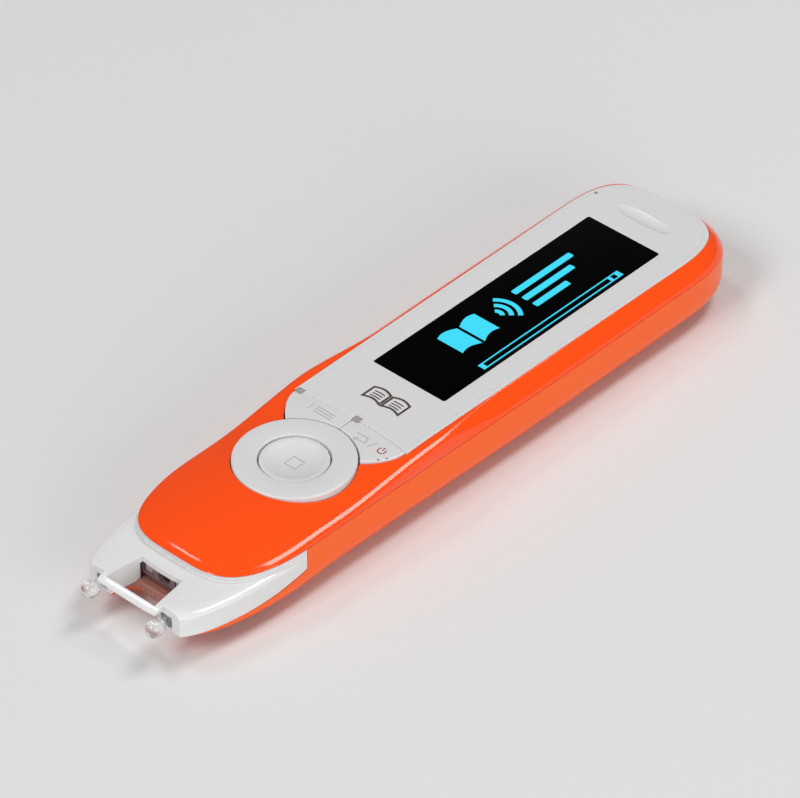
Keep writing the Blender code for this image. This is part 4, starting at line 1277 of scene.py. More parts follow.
    def crowned_top(self, points: Sequence[PlanPoint], bottom: float,
                    rungs: Sequence[float]) -> list[list[Point3]]:
        """Half columns of the upper casing: a steep shoulder, a sloping band, the top.

        Args:
            points: The plan outline.
            bottom: The lower rim.
            rungs: Shares of the width where the top has points.

        Returns:
            The columns.
        """
        columns = []
        outer_tilt, inner_tilt = self.band_tilts
        for point in points:
            x, y, _ = point
            near, far = self.band(x)
            last = far + self.band_blend
            top_x, top_y = inward(point, last)
            peak = Vector((far, self.top_height(*inward(point, far)) - bottom))
            fall = (far - near) * math.tan((outer_tilt + inner_tilt) / 2)
            edge = Vector((near, max(peak.y - fall, self.shoulder_least)))
            chord = math.atan2(edge.y, edge.x)
            low, high = chord + self.shoulder_bow, chord - self.shoulder_bow
            reach = (edge.x * math.sin(high) - edge.y * math.cos(high)) / math.sin(high - low)
            bend = Vector((reach * math.cos(low), reach * math.sin(low)))
            shoulder = self.curve(Vector((0.0, 0.0)), bend, edge, 48)
            half = (far - near) / 2
            crown = self.curve(edge, edge + Vector((half, half * math.tan(outer_tilt))), peak, 8)
            finish = Vector((last, self.top_height(top_x, top_y) - bottom))
            profile = shoulder[4:44:5] + self.curve(shoulder[44], edge, crown[1], 3)
            profile += crown[2:8] + self.curve(crown[7], peak, finish, 4)[1:]
            column = [(x, 0.0, bottom), (x, y, bottom)]
            column += [(*inward(point, inset), bottom + up) for inset, up in profile]
            column += [(top_x, top_y * rung, self.top_height(top_x, top_y * rung))
                       for rung in rungs]
            columns.append(column)
        return columns

    @staticmethod
    def curve(start: Vector, bend: Vector, end: Vector, steps: int) -> list[Vector]:
        """Points on a curve that leaves and arrives toward its bend.

        Args:
            start: The first point.
            bend: The point that it bends toward.
            end: The last point.
            steps: The number of steps.

        Returns:
            The points.
        """
        shares = [step / steps for step in range(steps + 1)]
        return [start * (1 - u) ** 2 + bend * 2 * u * (1 - u) + end * u * u for u in shares]

    @staticmethod
    def rounded_bottom(points: Sequence[PlanPoint], top: float,
                       height: Callable[[float], float], radius: Callable[[float], float],
                       arcs: int, rungs: Sequence[float]) -> list[list[Point3]]:
        """Half columns of a flat-topped solid with rounded lower edges.

        Args:
            points: The plan outline.
            top: The upper height.
            height: The underside.
            radius: The edge's radius.
            arcs: Steps round the edge.
            rungs: Shares of the width where the underside has points.

        Returns:
            The columns.
        """
        columns = []
        for point in points:
            x, y, _ = point
            r = radius(x)
            low = inward(point, r)
            middle = height(low[0]) + r
            column = [(x, 0.0, top), (x, y, top)]
            for arc in range(arcs + 1):
                angle = math.pi / 2 * arc / arcs
                column.append((*inward(point, r * (1 - math.cos(angle))),
                               middle - r * math.sin(angle)))
            column += [(low[0], low[1] * rung, height(low[0])) for rung in rungs]
            columns.append(column)
        return columns

    def notch_outline(self, inset: float = 0.0) -> list[Point2]:
        """The outline of the notch in the lower casing's lip.

        Args:
            inset: How far it is moved inwards.

        Returns:
            The closed outline.
        """
        back, half, radius = self.lip_notch
        front = self.lip_front_x - self.over
        return rounded_box(((front + back) / 2 - inset, 0.0), (back - front, 2 * (half - inset)),
                           radius - inset, 10)

    def light_windows(self) -> tuple[Point2, Point2]:
        """The light windows on the joint of panel and keys."""
        joint = self.panel_front_x - self.side_gap / 2
        return tuple(self.bowed(joint, side) for side in self.window_sides)


def closed_plan(points: Sequence[PlanPoint]) -> list[Point2]:
    """Both sides of a half outline."""
    half = [(x, y) for x, y, _ in points]
    return half + [(x, -y) for x, y in reversed(half[1:-1])]


def shell(outer: Sequence[Sequence[Point3]], inner: Sequence[Sequence[Point3]],
          rims: Sequence[Sequence[Point3]] | None = None) -> list[list[Point3]]:
    """Half columns of a shell, from inside round its rim to the outside.

    Args:
        outer: The outside's columns.
        inner: The inside's columns.
        rims: Points between the two, column by column.

    Returns:
        The columns.
    """
    rims = rims or [[]] * len(outer)
    return [list(b[:0:-1]) + list(rim) + list(a[1:]) for a, b, rim in zip(outer, inner, rims)]


def rounded_box(centre: Point2, size: Point2, radius: float, steps: int = 8) -> list[Point2]:
    """A rectangle with rounded corners.

    Args:
        centre: Its middle.
        size: Its length and width.
        radius: The corners' radius.
        steps: Steps round each corner.

    Returns:
        The closed outline.
    """
    points = []
    for quarter, (sx, sy) in enumerate(((1, 1), (-1, 1), (-1, -1), (1, -1))):
        for step in range(steps + 1):
            angle = math.pi / 2 * (quarter + step / steps)
            points.append((centre[0] + sx * (size[0] / 2 - radius) + radius * math.cos(angle),
                           centre[1] + sy * (size[1] / 2 - radius) + radius * math.sin(angle)))
    return points


def arc(centre: Point2, radius: float, start: float, end: float, steps: int = 24) -> list[Point2]:
    """Points on a circle.

    Args:
        centre: Its centre.
        radius: Its radius.
        start: The first angle in degrees.
        end: The last angle in degrees.
        steps: The number of steps.

    Returns:
        The points.
    """
    angles = [math.radians(start + (end - start) * step / steps) for step in range(steps + 1)]
    return [(centre[0] + radius * math.cos(angle), centre[1] + radius * math.sin(angle))
            for angle in angles]


# Sub-assemblies
@dataclass
class SubAssembly:
    """What every sub-assembly has: the form, the finishes and a way to hand a piece over."""

    form: PenForm
    palette: Palette

    def dress(self, piece: Piece, name: str, body: Body, slot: str,
              nodes: Sequence[str] = (), finish: str | None = None,
              smooth: float | None = 30.0) -> None:
        """Name a finished piece, give it its finish and tie it to the model.

        Args:
            piece: The piece.
            name: Its name.
            body: The body that it moves with.
            slot: The record's slot.
            nodes: The CAD nodes that it stands for.
            finish: Its finish, if not the slot's.
            smooth: The angle up to which it is shaded smooth.
        """
        if smooth is not None:
            Bench.smooth(piece, smooth)
        piece.name = name
        piece.data.name = name
        piece.data.materials.clear()
        piece.data.materials.append(self.palette.get(finish or slot))
        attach(piece, body.value)
        if nodes:
            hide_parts(*nodes)
        log.info("%s: %d faces", name, len(piece.data.polygons))

    def cut_windows(self, piece: Piece, reach: float, low: float, high: float,
                    side: int = 0) -> None:
        """Cut the rooms of the small light windows.

        Args:
            piece: The piece.
            reach: Half a room's width.
            low: Its lower height.
            high: Its upper height.
            side: 1 or -1 for the windows on that side and in the middle, 0 for all.
        """
        for x, y in self.form.light_windows():
            if y * side > -MM:
                room = Bench.box((x - reach, y - reach, low), (x + reach, y + reach, high))
                Bench.combine(piece, Operation.CUT, room)


@dataclass
class UpperCasing(SubAssembly):
    """The orange upper shell with its crowned front."""

    rim_gap: float = 0.06 * MM
    panel_gap: float = 0.05 * MM
    key_gap: float = 0.1 * MM
    ring_gap: float = 0.16 * MM
    view: Point2 = mm(51.0, 13.3)
    window_room: float = 0.85 * MM
    inner_edge: float = 0.1 * MM
    pocket_radius: float = 11.3 * MM
    pocket_height: float = 11.2 * MM
    rungs: tuple[float, ...] = (0.95, 0.87, 0.78, 0.67, 0.55, 0.42, 0.28, 0.14, 0.0)

    def build(self) -> None:
        """Make the shell and cut its openings."""
        form = self.form
        bottom = form.seam + self.rim_gap
        outer = form.crowned_top(form.plan(form.casing_front_x, form.casing_powers), bottom,
                                 self.rungs)
        inner = form.rounded_top(form.plan(form.casing_front_x, form.casing_powers, form.wall),
                                 bottom, form.ceiling, lambda x: self.inner_edge, 15, self.rungs)
        piece = Bench.loft(shell(outer, inner))
        top = form.height + form.over
        panel = Bench.plate(form.panel_outline(self.panel_gap), form.deck_top, top)
        view = Bench.plate(rounded_box(form.display_centre, self.view, form.display_corner),
                           form.deck_bottom - form.over, form.deck_top + form.over)
        well = Bench.bar((form.ring_x, 0.0, bottom - form.over), (form.ring_x, 0.0, top),
                         form.ring_radius + self.ring_gap, 160)
        pocket = Bench.bar((form.ring_x, 0.0, bottom - form.over),
                           (form.ring_x, 0.0, self.pocket_height), self.pocket_radius, 96)
        keys = [(x, y) for x, y in form.key_outline(self.key_gap) if y > 0]
        keys += [(x, -y) for x, y in reversed(keys)]
        room = Bench.plate(keys, bottom - form.over, top)
        Bench.combine(piece, Operation.CUT, panel, view, well, pocket, room)
        self.cut_windows(piece, self.window_room, bottom, top)
        Bench.settle(piece)
        self.dress(piece, "upper_shell", Body.CASING, "orange_casing", ["upper_casing"])


@dataclass
class LowerCasing(SubAssembly):
    """The orange lower shell with its step, screw holes, slots and socket openings."""

    rim_gap: float = 0.06 * MM
    tongue_gap: float = 0.2 * MM
    tongue_depth: float = 0.8 * MM
    tongue_rise: float = 0.5 * MM
    tongue_root: float = 1.2 * MM
    boss_radius: float = 1.9 * MM
    boss_height: float = 6.9 * MM
    head_radius: float = 1.5 * MM
    head_depth: float = 1.4 * MM
    shaft_radius: float = 0.9 * MM
    ridge: tuple[float, ...] = mm(-57.2, 0.8, 4.0, 0.55)
    socket_centre: Point2 = mm(-4.4, 8.0)
    socket_size: Point2 = mm(7.9, 3.0)
    socket_corner: float = 0.7 * MM
    jack: Point3 = mm(4.6, 6.7, 2.35)
    slot_size: Point2 = mm(0.8, 8.0)
    slot_corner: float = 0.395 * MM
    slot_pitch: float = 1.6 * MM
    slots_from_rear: float = 11.6 * MM
    slot_over: float = 0.15 * MM
    least_round: float = 0.1 * MM

    def build(self) -> None:
        """Make the shell and cut its openings."""
        form = self.form
        top = form.seam - self.rim_gap
        outer = form.rounded_bottom(form.plan(form.lip_front_x, form.nose_powers), top,
                                    form.belly, form.belly_round, 12, (0.6, 0.0))
        root = top - self.tongue_root
        inner = form.rounded_bottom(
            form.plan(form.cavity_front_x, form.casing_powers, form.wall), root - MM,
            lambda x: form.belly(x) + form.wall,
            lambda x: max(form.belly_round(x) - form.wall, self.least_round), 4, (0.0,))
        face = form.wall + self.tongue_gap
        near = form.plan(form.casing_front_x, form.casing_powers, face)
        deep = form.plan(form.casing_front_x, form.casing_powers, face + self.tongue_depth)
        peak = top + self.tongue_rise
        rims = [[(b[0], b[1], root), (b[0], b[1], peak), (a[0], a[1], peak), (a[0], a[1], top)]
                for a, b in zip(near, deep)]
        piece = Bench.loft(shell(outer, inner, rims))
        bosses = [Bench.bar((x, y, form.belly(x) + form.wall / 2), (x, y, self.boss_height),
                            self.boss_radius)
                  for x, y in form.screw_places]
        Bench.combine(piece, Operation.JOIN, *bosses)
        across = form.rear_half + form.over
        nose = Bench.upright(1, form.nose_side(0.0, -self.rim_gap, top + form.over), -across,
                             across)
        Bench.combine(piece, Operation.CUT, nose)
        ridge_x, ridge_width, ridge_half, ridge_rise = self.ridge
        Bench.combine(piece, Operation.JOIN,
                      Bench.box((ridge_x - ridge_width, -ridge_half, form.lip_height - MM),
                                (ridge_x, ridge_half, form.lip_height + ridge_rise)))
        self.cut_openings(piece, top)
        Bench.settle(piece)
        # The lower shell's lighter orange is painted light for its brightly lit wall.
        self.dress(piece, "lower_shell", Body.CASING, "orange_casing", ["lower_casing"],
                   "orange_lower_painted_light")

    def cut_openings(self, piece: Piece, top: float) -> None:
        """Cut the lip's notch, the screw holes, the sockets' openings and the slots.

        Args:
            piece: The shell.
            top: The shell's upper rim.
        """
        form = self.form
        tools = [Bench.plate(form.notch_outline(), -form.over, top)]
        for x, y in form.screw_places:
            tools.append(Bench.bar((x, y, -form.over), (x, y, form.seam), self.shaft_radius))
            tools.append(Bench.bar((x, y, -form.over), (x, y, form.belly(x) + self.head_depth),
                                   self.head_radius))
        start, end = form.rear_x - 2 * form.wall - form.over, form.rear_x + form.over
        mouth = rounded_box(self.socket_centre, self.socket_size, self.socket_corner)
        tools.append(Bench.upright(0, mouth, start, end))
        y, z, radius = self.jack
        tools.append(Bench.bar((start, y, z), (end, y, z), radius, 64))
        for index in range(-2, 3):
            x = form.rear_x - self.slots_from_rear + index * self.slot_pitch
            slot = rounded_box((x, 0.0), self.slot_size, self.slot_corner)
            tools.append(Bench.plate(slot, -form.over, form.wall + self.slot_over))
        Bench.combine(piece, Operation.CUT, *tools)


@dataclass
class FacePanel(SubAssembly):
    """The pale panel with its display window, dimple, microphone hole and printed mark."""

    edge: float = 0.3 * MM
    front: float = 0.185 * MM
    rim: float = 0.72 * MM
    groove: float = 0.14 * MM
    groove_depth: float = 0.04 * MM
    window_gap: float = 0.04 * MM
    window_room: float = 0.7 * MM
    dimple: Point3 = mm(58.6, 0.4, 6.2)
    dimple_half: float = 1.5 * MM
    dimple_depth: float = 0.36 * MM
    pinhole: Point2 = mm(58.85, 11.2)
    pinhole_radius: float = 0.35 * MM
    mark_centre: Point2 = mm(-6.4, -0.8)
    mark_rise: float = 0.015 * MM
    page_gap: float = 0.25 * MM
    page_size: Point2 = mm(2.9, 3.6)
    page_front: float = 1.5 * MM
    page_curl: float = 0.5 * MM
    page_line: float = 0.42 * MM
    row_span: Point2 = mm(0.95, 3.1)
    row_places: Point3 = mm(0.75, 0.13, -0.49)
    row_bow: float = 0.08 * MM
    row_line: float = 0.24 * MM

    def build(self) -> None:
        """Make the panel and its mark."""
        form = self.form
        low, top = form.height - form.panel_thickness, form.height
        piece = Bench.plate(form.panel_outline(0.0, self.front), low, top)
        size = tuple(side + 2 * self.window_gap for side in form.display_size)
        window = rounded_box(form.display_centre, size, form.display_corner)
        Bench.combine(piece, Operation.CUT, Bench.plate(window, low - MM, top + MM))
        self.cut_windows(piece, self.window_room, low - MM, top + MM)
        Bench.round_edges(piece, self.edge, 12, 60.0)
        Bench.groove(piece, form.panel_outline(-self.rim),
                     form.panel_outline(-self.rim - self.groove), top, self.groove_depth)
        x, y, half = self.dimple
        dent = Bench.ball((0.0, 0.0, 0.0), 1.0, 64)
        rise = 2.0 * self.dimple_depth
        grow = 1 / math.sqrt(1 - (rise / (rise + self.dimple_depth)) ** 2)
        for vertex in dent.data.vertices:
            vertex.co = (x + vertex.co.x * self.dimple_half * grow, y + vertex.co.y * half * grow,
                         top + rise + vertex.co.z * (rise + self.dimple_depth))
        hole = Bench.bar((*self.pinhole, low - MM), (*self.pinhole, top + MM),
                         self.pinhole_radius)
        Bench.combine(piece, Operation.CUT, dent, hole)
        Bench.settle(piece)
        self.dress(piece, "face_plate", Body.CASING, "pale_plastic", ["face_panel"],
                   smooth=8.0)
        self.print_mark(top)

    def print_mark(self, top: float) -> None:
        """Print a plain open book beside the keys.

        Args:
            top: The panel's surface.
        """
        low, high = top - self.form.print_sink, top + self.mark_rise
        middle_x, middle_y = self.mark_centre
        length, width = self.page_size
        lines = []
        for side in (1, -1):
            page = []
            for step in range(9):
                share = step / 8
                curl = self.page_curl * math.sin(math.pi * share)
                page.append((middle_x - self.page_front + curl,
                             middle_y + side * (self.page_gap + width * share)))
            rear = [(x + length, y) for x, y in reversed(page)]
            lines.append(Bench.stroke(page + rear, self.page_line, low, high, True))
            start, end = (middle_y + side * place for place in self.row_span)
            for place in self.row_places:
                x = middle_x + place
                row = [(x, start), (x + self.row_bow, (start + end) / 2), (x, end)]
                lines.append(Bench.stroke(row, self.row_line, low, high))
        mark = Bench.one("panel_mark", lines)
        self.dress(mark, "panel_mark", Body.CASING, "pale_plastic", (), "dark_ink", None)


@dataclass
class Display(SubAssembly):
    """The black display window and what it shows."""

    edge: float = 0.04 * MM
    lit_rise: float = 0.01 * MM
    bar_rear: float = 44.6 * MM
    bar_front: float = 10.4 * MM
    bar_middle: float = -6.3 * MM
    bar_half: float = 0.62 * MM
    bar_line: float = 0.26 * MM
    bar_gap: float = 0.02 * MM
    bar_marks: tuple[Point2, ...] = (mm(42.0, 42.7), mm(43.7, 44.44), mm(10.56, 11.2))
    page_centre: Point2 = mm(15.6, 0.9)
    page_gap: float = 0.3 * MM
    page_size: Point2 = mm(4.2, 5.6)
    page_low: float = 3.0 * MM
    page_curl: float = 0.9 * MM
    page_arch: float = 0.8
    waves_x: float = 22.2 * MM
    waves_rise: float = 0.3 * MM
    wave_angle: float = 48.0
    wave_radii: Point3 = mm(1.1, 2.6, 4.1)
    wave_line: float = 0.85 * MM
    rows_x: float = 28.6 * MM
    rows: Point3 = mm(14.5, 12.2, 8.4)
    row_width: float = 1.25 * MM
    row_corner: float = 0.3 * MM
    row_first: float = 2.1 * MM
    row_pitch: float = 2.35 * MM

    def build(self) -> None:
        """Make the window and the lit signs."""
        form = self.form
        low, top = form.height - form.panel_thickness, form.height
        outline = rounded_box(form.display_centre, form.display_size, form.display_corner)
        piece = Bench.plate(outline, low, top)
        Bench.round_edges(piece, self.edge, 2, 50.0)
        self.dress(piece, "display_window", Body.CASING, "display_black", ["display_lens"])
        low, high = top - form.print_sink, top + self.lit_rise
        signs = self.progress_bar(low, high) + self.reading_sign(low, high)
        sign = Bench.one("display_signs", signs)
        self.dress(sign, "display_signs", Body.CASING, "display_glass", (), "screen_light", None)

    def progress_bar(self, low: float, high: float) -> list[Piece]:
        """The progress bar's frame and its two end marks.

        Args:
            low: The lower height.
            high: The upper height.

        Returns:
            The lit plates.
        """
        half, middle = self.bar_half, self.bar_middle
        corners = [(self.bar_front, middle - half), (self.bar_rear, middle - half),
                   (self.bar_rear, middle + half), (self.bar_front, middle + half)]
        frame = Bench.stroke(corners, self.bar_line, low, high, True)
        inner = half - self.bar_line / 2 - self.bar_gap
        return [frame] + [Bench.box((start, middle - inner, low), (end, middle + inner, high))
                          for start, end in self.bar_marks]

    def reading_sign(self, low: float, high: float) -> list[Piece]:
        """An open book, sound waves and three bars that stand for lines of print.

        Args:
            low: The lower height.
            high: The upper height.

        Returns:
            The lit plates.
        """
        plates = []
        x, y = self.page_centre
        width, height = self.page_size
        for side in (1, -1):
            page = []
            for step in range(9):
                share = step / 8
                curl = self.page_curl * math.sin(math.pi * share * self.page_arch)
                page.append((x + side * (self.page_gap + width * share),
                             y - self.page_low + curl))
            upper = [(page_x, page_y + height) for page_x, page_y in reversed(page)]
            plates.append(Bench.plate(page + upper, low, high))
        for radius in self.wave_radii:
            wave = arc((self.waves_x, y + self.waves_rise), radius, -self.wave_angle,
                       self.wave_angle)
            plates.append(Bench.stroke(wave, self.wave_line, low, high))
        for row, length in enumerate(self.rows):
            middle = (self.rows_x + length / 2, y + self.row_first - self.row_pitch * row)
            outline = rounded_box(middle, (length, self.row_width), self.row_corner)
            plates.append(Bench.plate(outline, low, high))
        return plates


@dataclass
class NavRing(SubAssembly):
    """The four-way ring with its skirt, flange and embossed arrows."""

    inner: float = 5.94 * MM
    plate: float = 1.35 * MM
    edge: float = 0.34 * MM
    inner_edge: float = 0.24 * MM
    skirt: Point2 = mm(8.6, 9.6)
    flange: Point3 = mm(10.9, 10.1, 10.7)
    skirt_low: float = 9.2 * MM
    arrow_radius: float = 8.35 * MM
    arrow_rise: float = 0.009 * MM
    arrow_line: float = 0.16 * MM
    arrow_half: float = 0.75 * MM
    arrow_reach: Point2 = mm(0.3, 0.32)

    def build(self) -> None:
        """Make the ring and its arrows."""
        form = self.form
        top = form.ring_top - self.arrow_rise
        low = top - self.plate
        profile = [(self.inner, low)] + quarter(self.inner, top, -self.inner_edge, 4)
        profile += quarter(form.ring_radius, top, self.edge, 6)[::-1]
        wide, flange_low, flange_top = self.flange
        inside, outside = self.skirt
        profile += [(form.ring_radius, low), (outside, low), (outside, flange_top),
                    (wide, flange_top), (wide, flange_low), (outside, flange_low),
                    (outside, self.skirt_low), (inside, self.skirt_low), (inside, low)]
        piece = Bench.turned(profile, (form.ring_x, 0.0), 160)
        self.dress(piece, "four_way_ring", Body.RING, "pale_plastic", ["nav_ring"])
        arrows = []
        back, ahead = self.arrow_reach
        for turn in range(4):
            angle = math.pi / 2 * turn
            out = Vector((math.cos(angle), math.sin(angle)))
            side = Vector((-out.y, out.x)) * self.arrow_half
            centre = Vector((form.ring_x, 0.0)) + out * self.arrow_radius
            points = [centre + side - out * back, centre + out * ahead,
                      centre - side - out * back]
            arrows.append(Bench.stroke([tuple(point) for point in points], self.arrow_line,
                                       top - form.print_sink, top + self.arrow_rise))
        marks = Bench.one("ring_arrows", arrows)
        self.dress(marks, "ring_arrows", Body.RING, "pale_plastic", (), None, None)


@dataclass
class CentreButton(SubAssembly):
    """The dished centre button with its printed square."""

    radius: float = 5.72 * MM
    drop: float = 0.3 * MM
    thickness: float = 1.4 * MM
    edge: float = 0.22 * MM
    lower_edge: float = 0.1 * MM
    dish: Point2 = mm(4.95, 0.8)
    dish_lip: float = 0.12 * MM
    dish_step: float = 0.02 * MM
    stem: Point2 = mm(1.4, 7.95)
    stem_root: float = 0.3 * MM
    square: float = 1.13 * MM
    square_steps: int = 6
    square_line: float = 0.15 * MM
    square_sink: float = 0.03 * MM
    square_rise: float = 0.012 * MM

    def build(self) -> None:
        """Make the button and its square."""
        form = self.form
        top = form.ring_top - self.drop
        low = top - self.thickness
        dish_radius, dish_depth = self.dish
        profile = [(0.0, low), (self.radius - self.lower_edge, low),
                   (self.radius, low + self.lower_edge)]
        profile += quarter(self.radius, top, self.edge, 6)
        profile += [(dish_radius + self.dish_lip, top), (dish_radius, top - self.dish_step)]
        for step in range(1, 13):
            share = 1 - step / 12
            profile.append((dish_radius * share, top - dish_depth * (1 - share ** 2)
                            - self.dish_step * share))
        piece = Bench.turned(profile, (form.ring_x, 0.0), 128)
        stem_radius, stem_low = self.stem
        stem = Bench.bar((form.ring_x, 0.0, stem_low), (form.ring_x, 0.0, low + self.stem_root),
                         stem_radius)
        Bench.combine(piece, Operation.JOIN, stem)
        self.dress(piece, "centre_cap", Body.CENTER, "pale_plastic", ["center_button"])
        floor = top - dish_depth
        half = self.square
        corners = [(form.ring_x + sx * half, sy * half)
                   for sx, sy in ((1, 1), (-1, 1), (-1, -1), (1, -1))]
        dense = []
        for (ax, ay), (bx, by) in zip(corners, corners[1:] + corners[:1]):
            dense += [(ax + (bx - ax) * step / self.square_steps,
                       ay + (by - ay) * step / self.square_steps)
                      for step in range(self.square_steps)]
        mark = Bench.stroke(dense, self.square_line, floor - self.square_sink,
                            floor + self.square_rise, True)
        for vertex in mark.data.vertices:
            reach = math.hypot(vertex.co.x - form.ring_x, vertex.co.y)
            vertex.co.z += dish_depth * (reach / dish_radius) ** 2
        self.dress(mark, "centre_square", Body.CENTER, "pale_plastic", (), "grey_ink", None)


@dataclass
class Keys(SubAssembly):
    """The menu and back keys with their printed signs."""

    thickness: float = 1.3 * MM
    edge: float = 0.22 * MM
    split: float = 0.03 * MM
    rim: float = 0.5 * MM
    groove: float = 0.12 * MM
    groove_depth: float = 0.03 * MM
    line: float = 0.19 * MM
    red_line: float = 0.2 * MM
    head_rise: float = 0.002 * MM
    print_rise: float = 0.012 * MM
    window_room: float = 0.7 * MM
    stem_x: float = -13.85 * MM
    stem_y: float = 7.0 * MM
    stem_low: float = 7.95 * MM
    stem_radius: float = 0.7 * MM
    stem_root: float = 0.2 * MM
    tongue_thickness: float = 0.6 * MM
    tongue: Point3 = mm(0.8, 2.6, 2.5)
    post: Point3 = mm(0.3, 1.5, 0.4)

    def build(self) -> None:
        """Make both keys and their signs."""
        for name, body, side, node in (("menu_key", Body.MENU, 1, "menu_button"),
                                       ("back_key", Body.BACK, -1, "back_button")):
            self.dress(self.key(side), name, body, "pale_plastic", [node])
        top = self.form.height
        low, high = top - self.form.print_sink, top + self.print_rise
        self.menu_sign(low, high)
        self.back_signs(low, high)

    def key(self, side: int) -> Piece:
        """One key with its post, tongue and stem.

        Args:
            side: 1 for the menu key, -1 for the back key.

        Returns:
            The key.
        """
        form = self.form
        top = form.height
        low = top - self.thickness
        outline = [(x, y * side) for x, y in form.key_outline(0.0, self.split)]
        piece = Bench.plate(outline, low, top)
        self.cut_windows(piece, self.window_room, low - MM, top + MM, side)
        Bench.settle(piece)
        Bench.round_edges(piece, self.edge, 4, 60.0)
        lines = [[(x, y * side) for x, y in form.key_outline(-inset, self.split + inset)]
                 for inset in (self.rim, self.rim + self.groove)]
        Bench.groove(piece, lines[0], lines[1], top, self.groove_depth)
        x, y = self.stem_x, self.stem_y * side
        high = form.deck_bottom - form.seat
        root = high - self.tongue_thickness
        ahead, behind, half = self.tongue
        tongue = Bench.box((x - ahead, y - half, root), (x + behind, y + half, high))
        behind, half, overlap = self.post
        post = Bench.box((x - ahead, y - half, root), (x + behind, y + half, low + overlap))
        stem = Bench.bar((x, y, self.stem_low), (x, y, high - self.stem_root), self.stem_radius)
        return Bench.combine(piece, Operation.JOIN, post, tongue, stem)

    def menu_sign(self, low: float, high: float) -> None:
        """Three bars with a dot before each.

        Args:
            low: The print's lower height.
            high: Its upper height.
        """
        lines = []
        for row in range(3):
            x = -14.85 - 0.62 * row
            lines.append(Bench.stroke([mm(x, 6.3), mm(x, 2.4)], self.line, low, high))
            lines.append(Bench.stroke([mm(x, 7.4), mm(x, 7.0)], self.line * 1.3, low, high))
        sign = Bench.one("menu_sign", lines)
        self.dress(sign, "menu_sign", Body.MENU, "pale_plastic", (), "grey_ink", None)

    def back_signs(self, low: float, high: float) -> None:
        """The return arrow, the slash, the power sign and the small red marks.

        Args:
            low: The prints' lower height.
            high: Their upper height.
        """
        arrow = [(-15.47, -2.91), (-15.39, -5.19), (-16.59, -5.58), (-16.76, -3.38)]
        head = [(-16.28, -3.85), (-16.76, -3.3), (-17.22, -3.9)]
        slash = [(-17.06, -6.38), (-15.07, -7.24)]
        grey = [Bench.stroke([mm(x, y) for x, y in line], self.line, low, high)
                for line in (arrow, slash)]
        grey.append(Bench.stroke([mm(x, y) for x, y in head], self.line * 0.8, low,
                                 high + self.head_rise))
        sign = Bench.one("back_sign", grey)
        self.dress(sign, "back_sign", Body.BACK, "pale_plastic", (), "grey_ink", None)
        lines = [arc(mm(-16.27, -8.88), 0.68 * MM, 42, 318, 32),
                 [mm(-16.17, -8.88), mm(-15.32, -8.88)],
                 [mm(-18.45, -9.85), mm(-18.1, -10.12)],
                 [mm(-17.3, -10.62), mm(-16.95, -10.85)]]
        red = [Bench.stroke(line, self.red_line, low, high) for line in lines]
        sign = Bench.one("power_sign", red)
        self.dress(sign, "power_sign", Body.BACK, "pale_plastic", (), "red_ink", None)


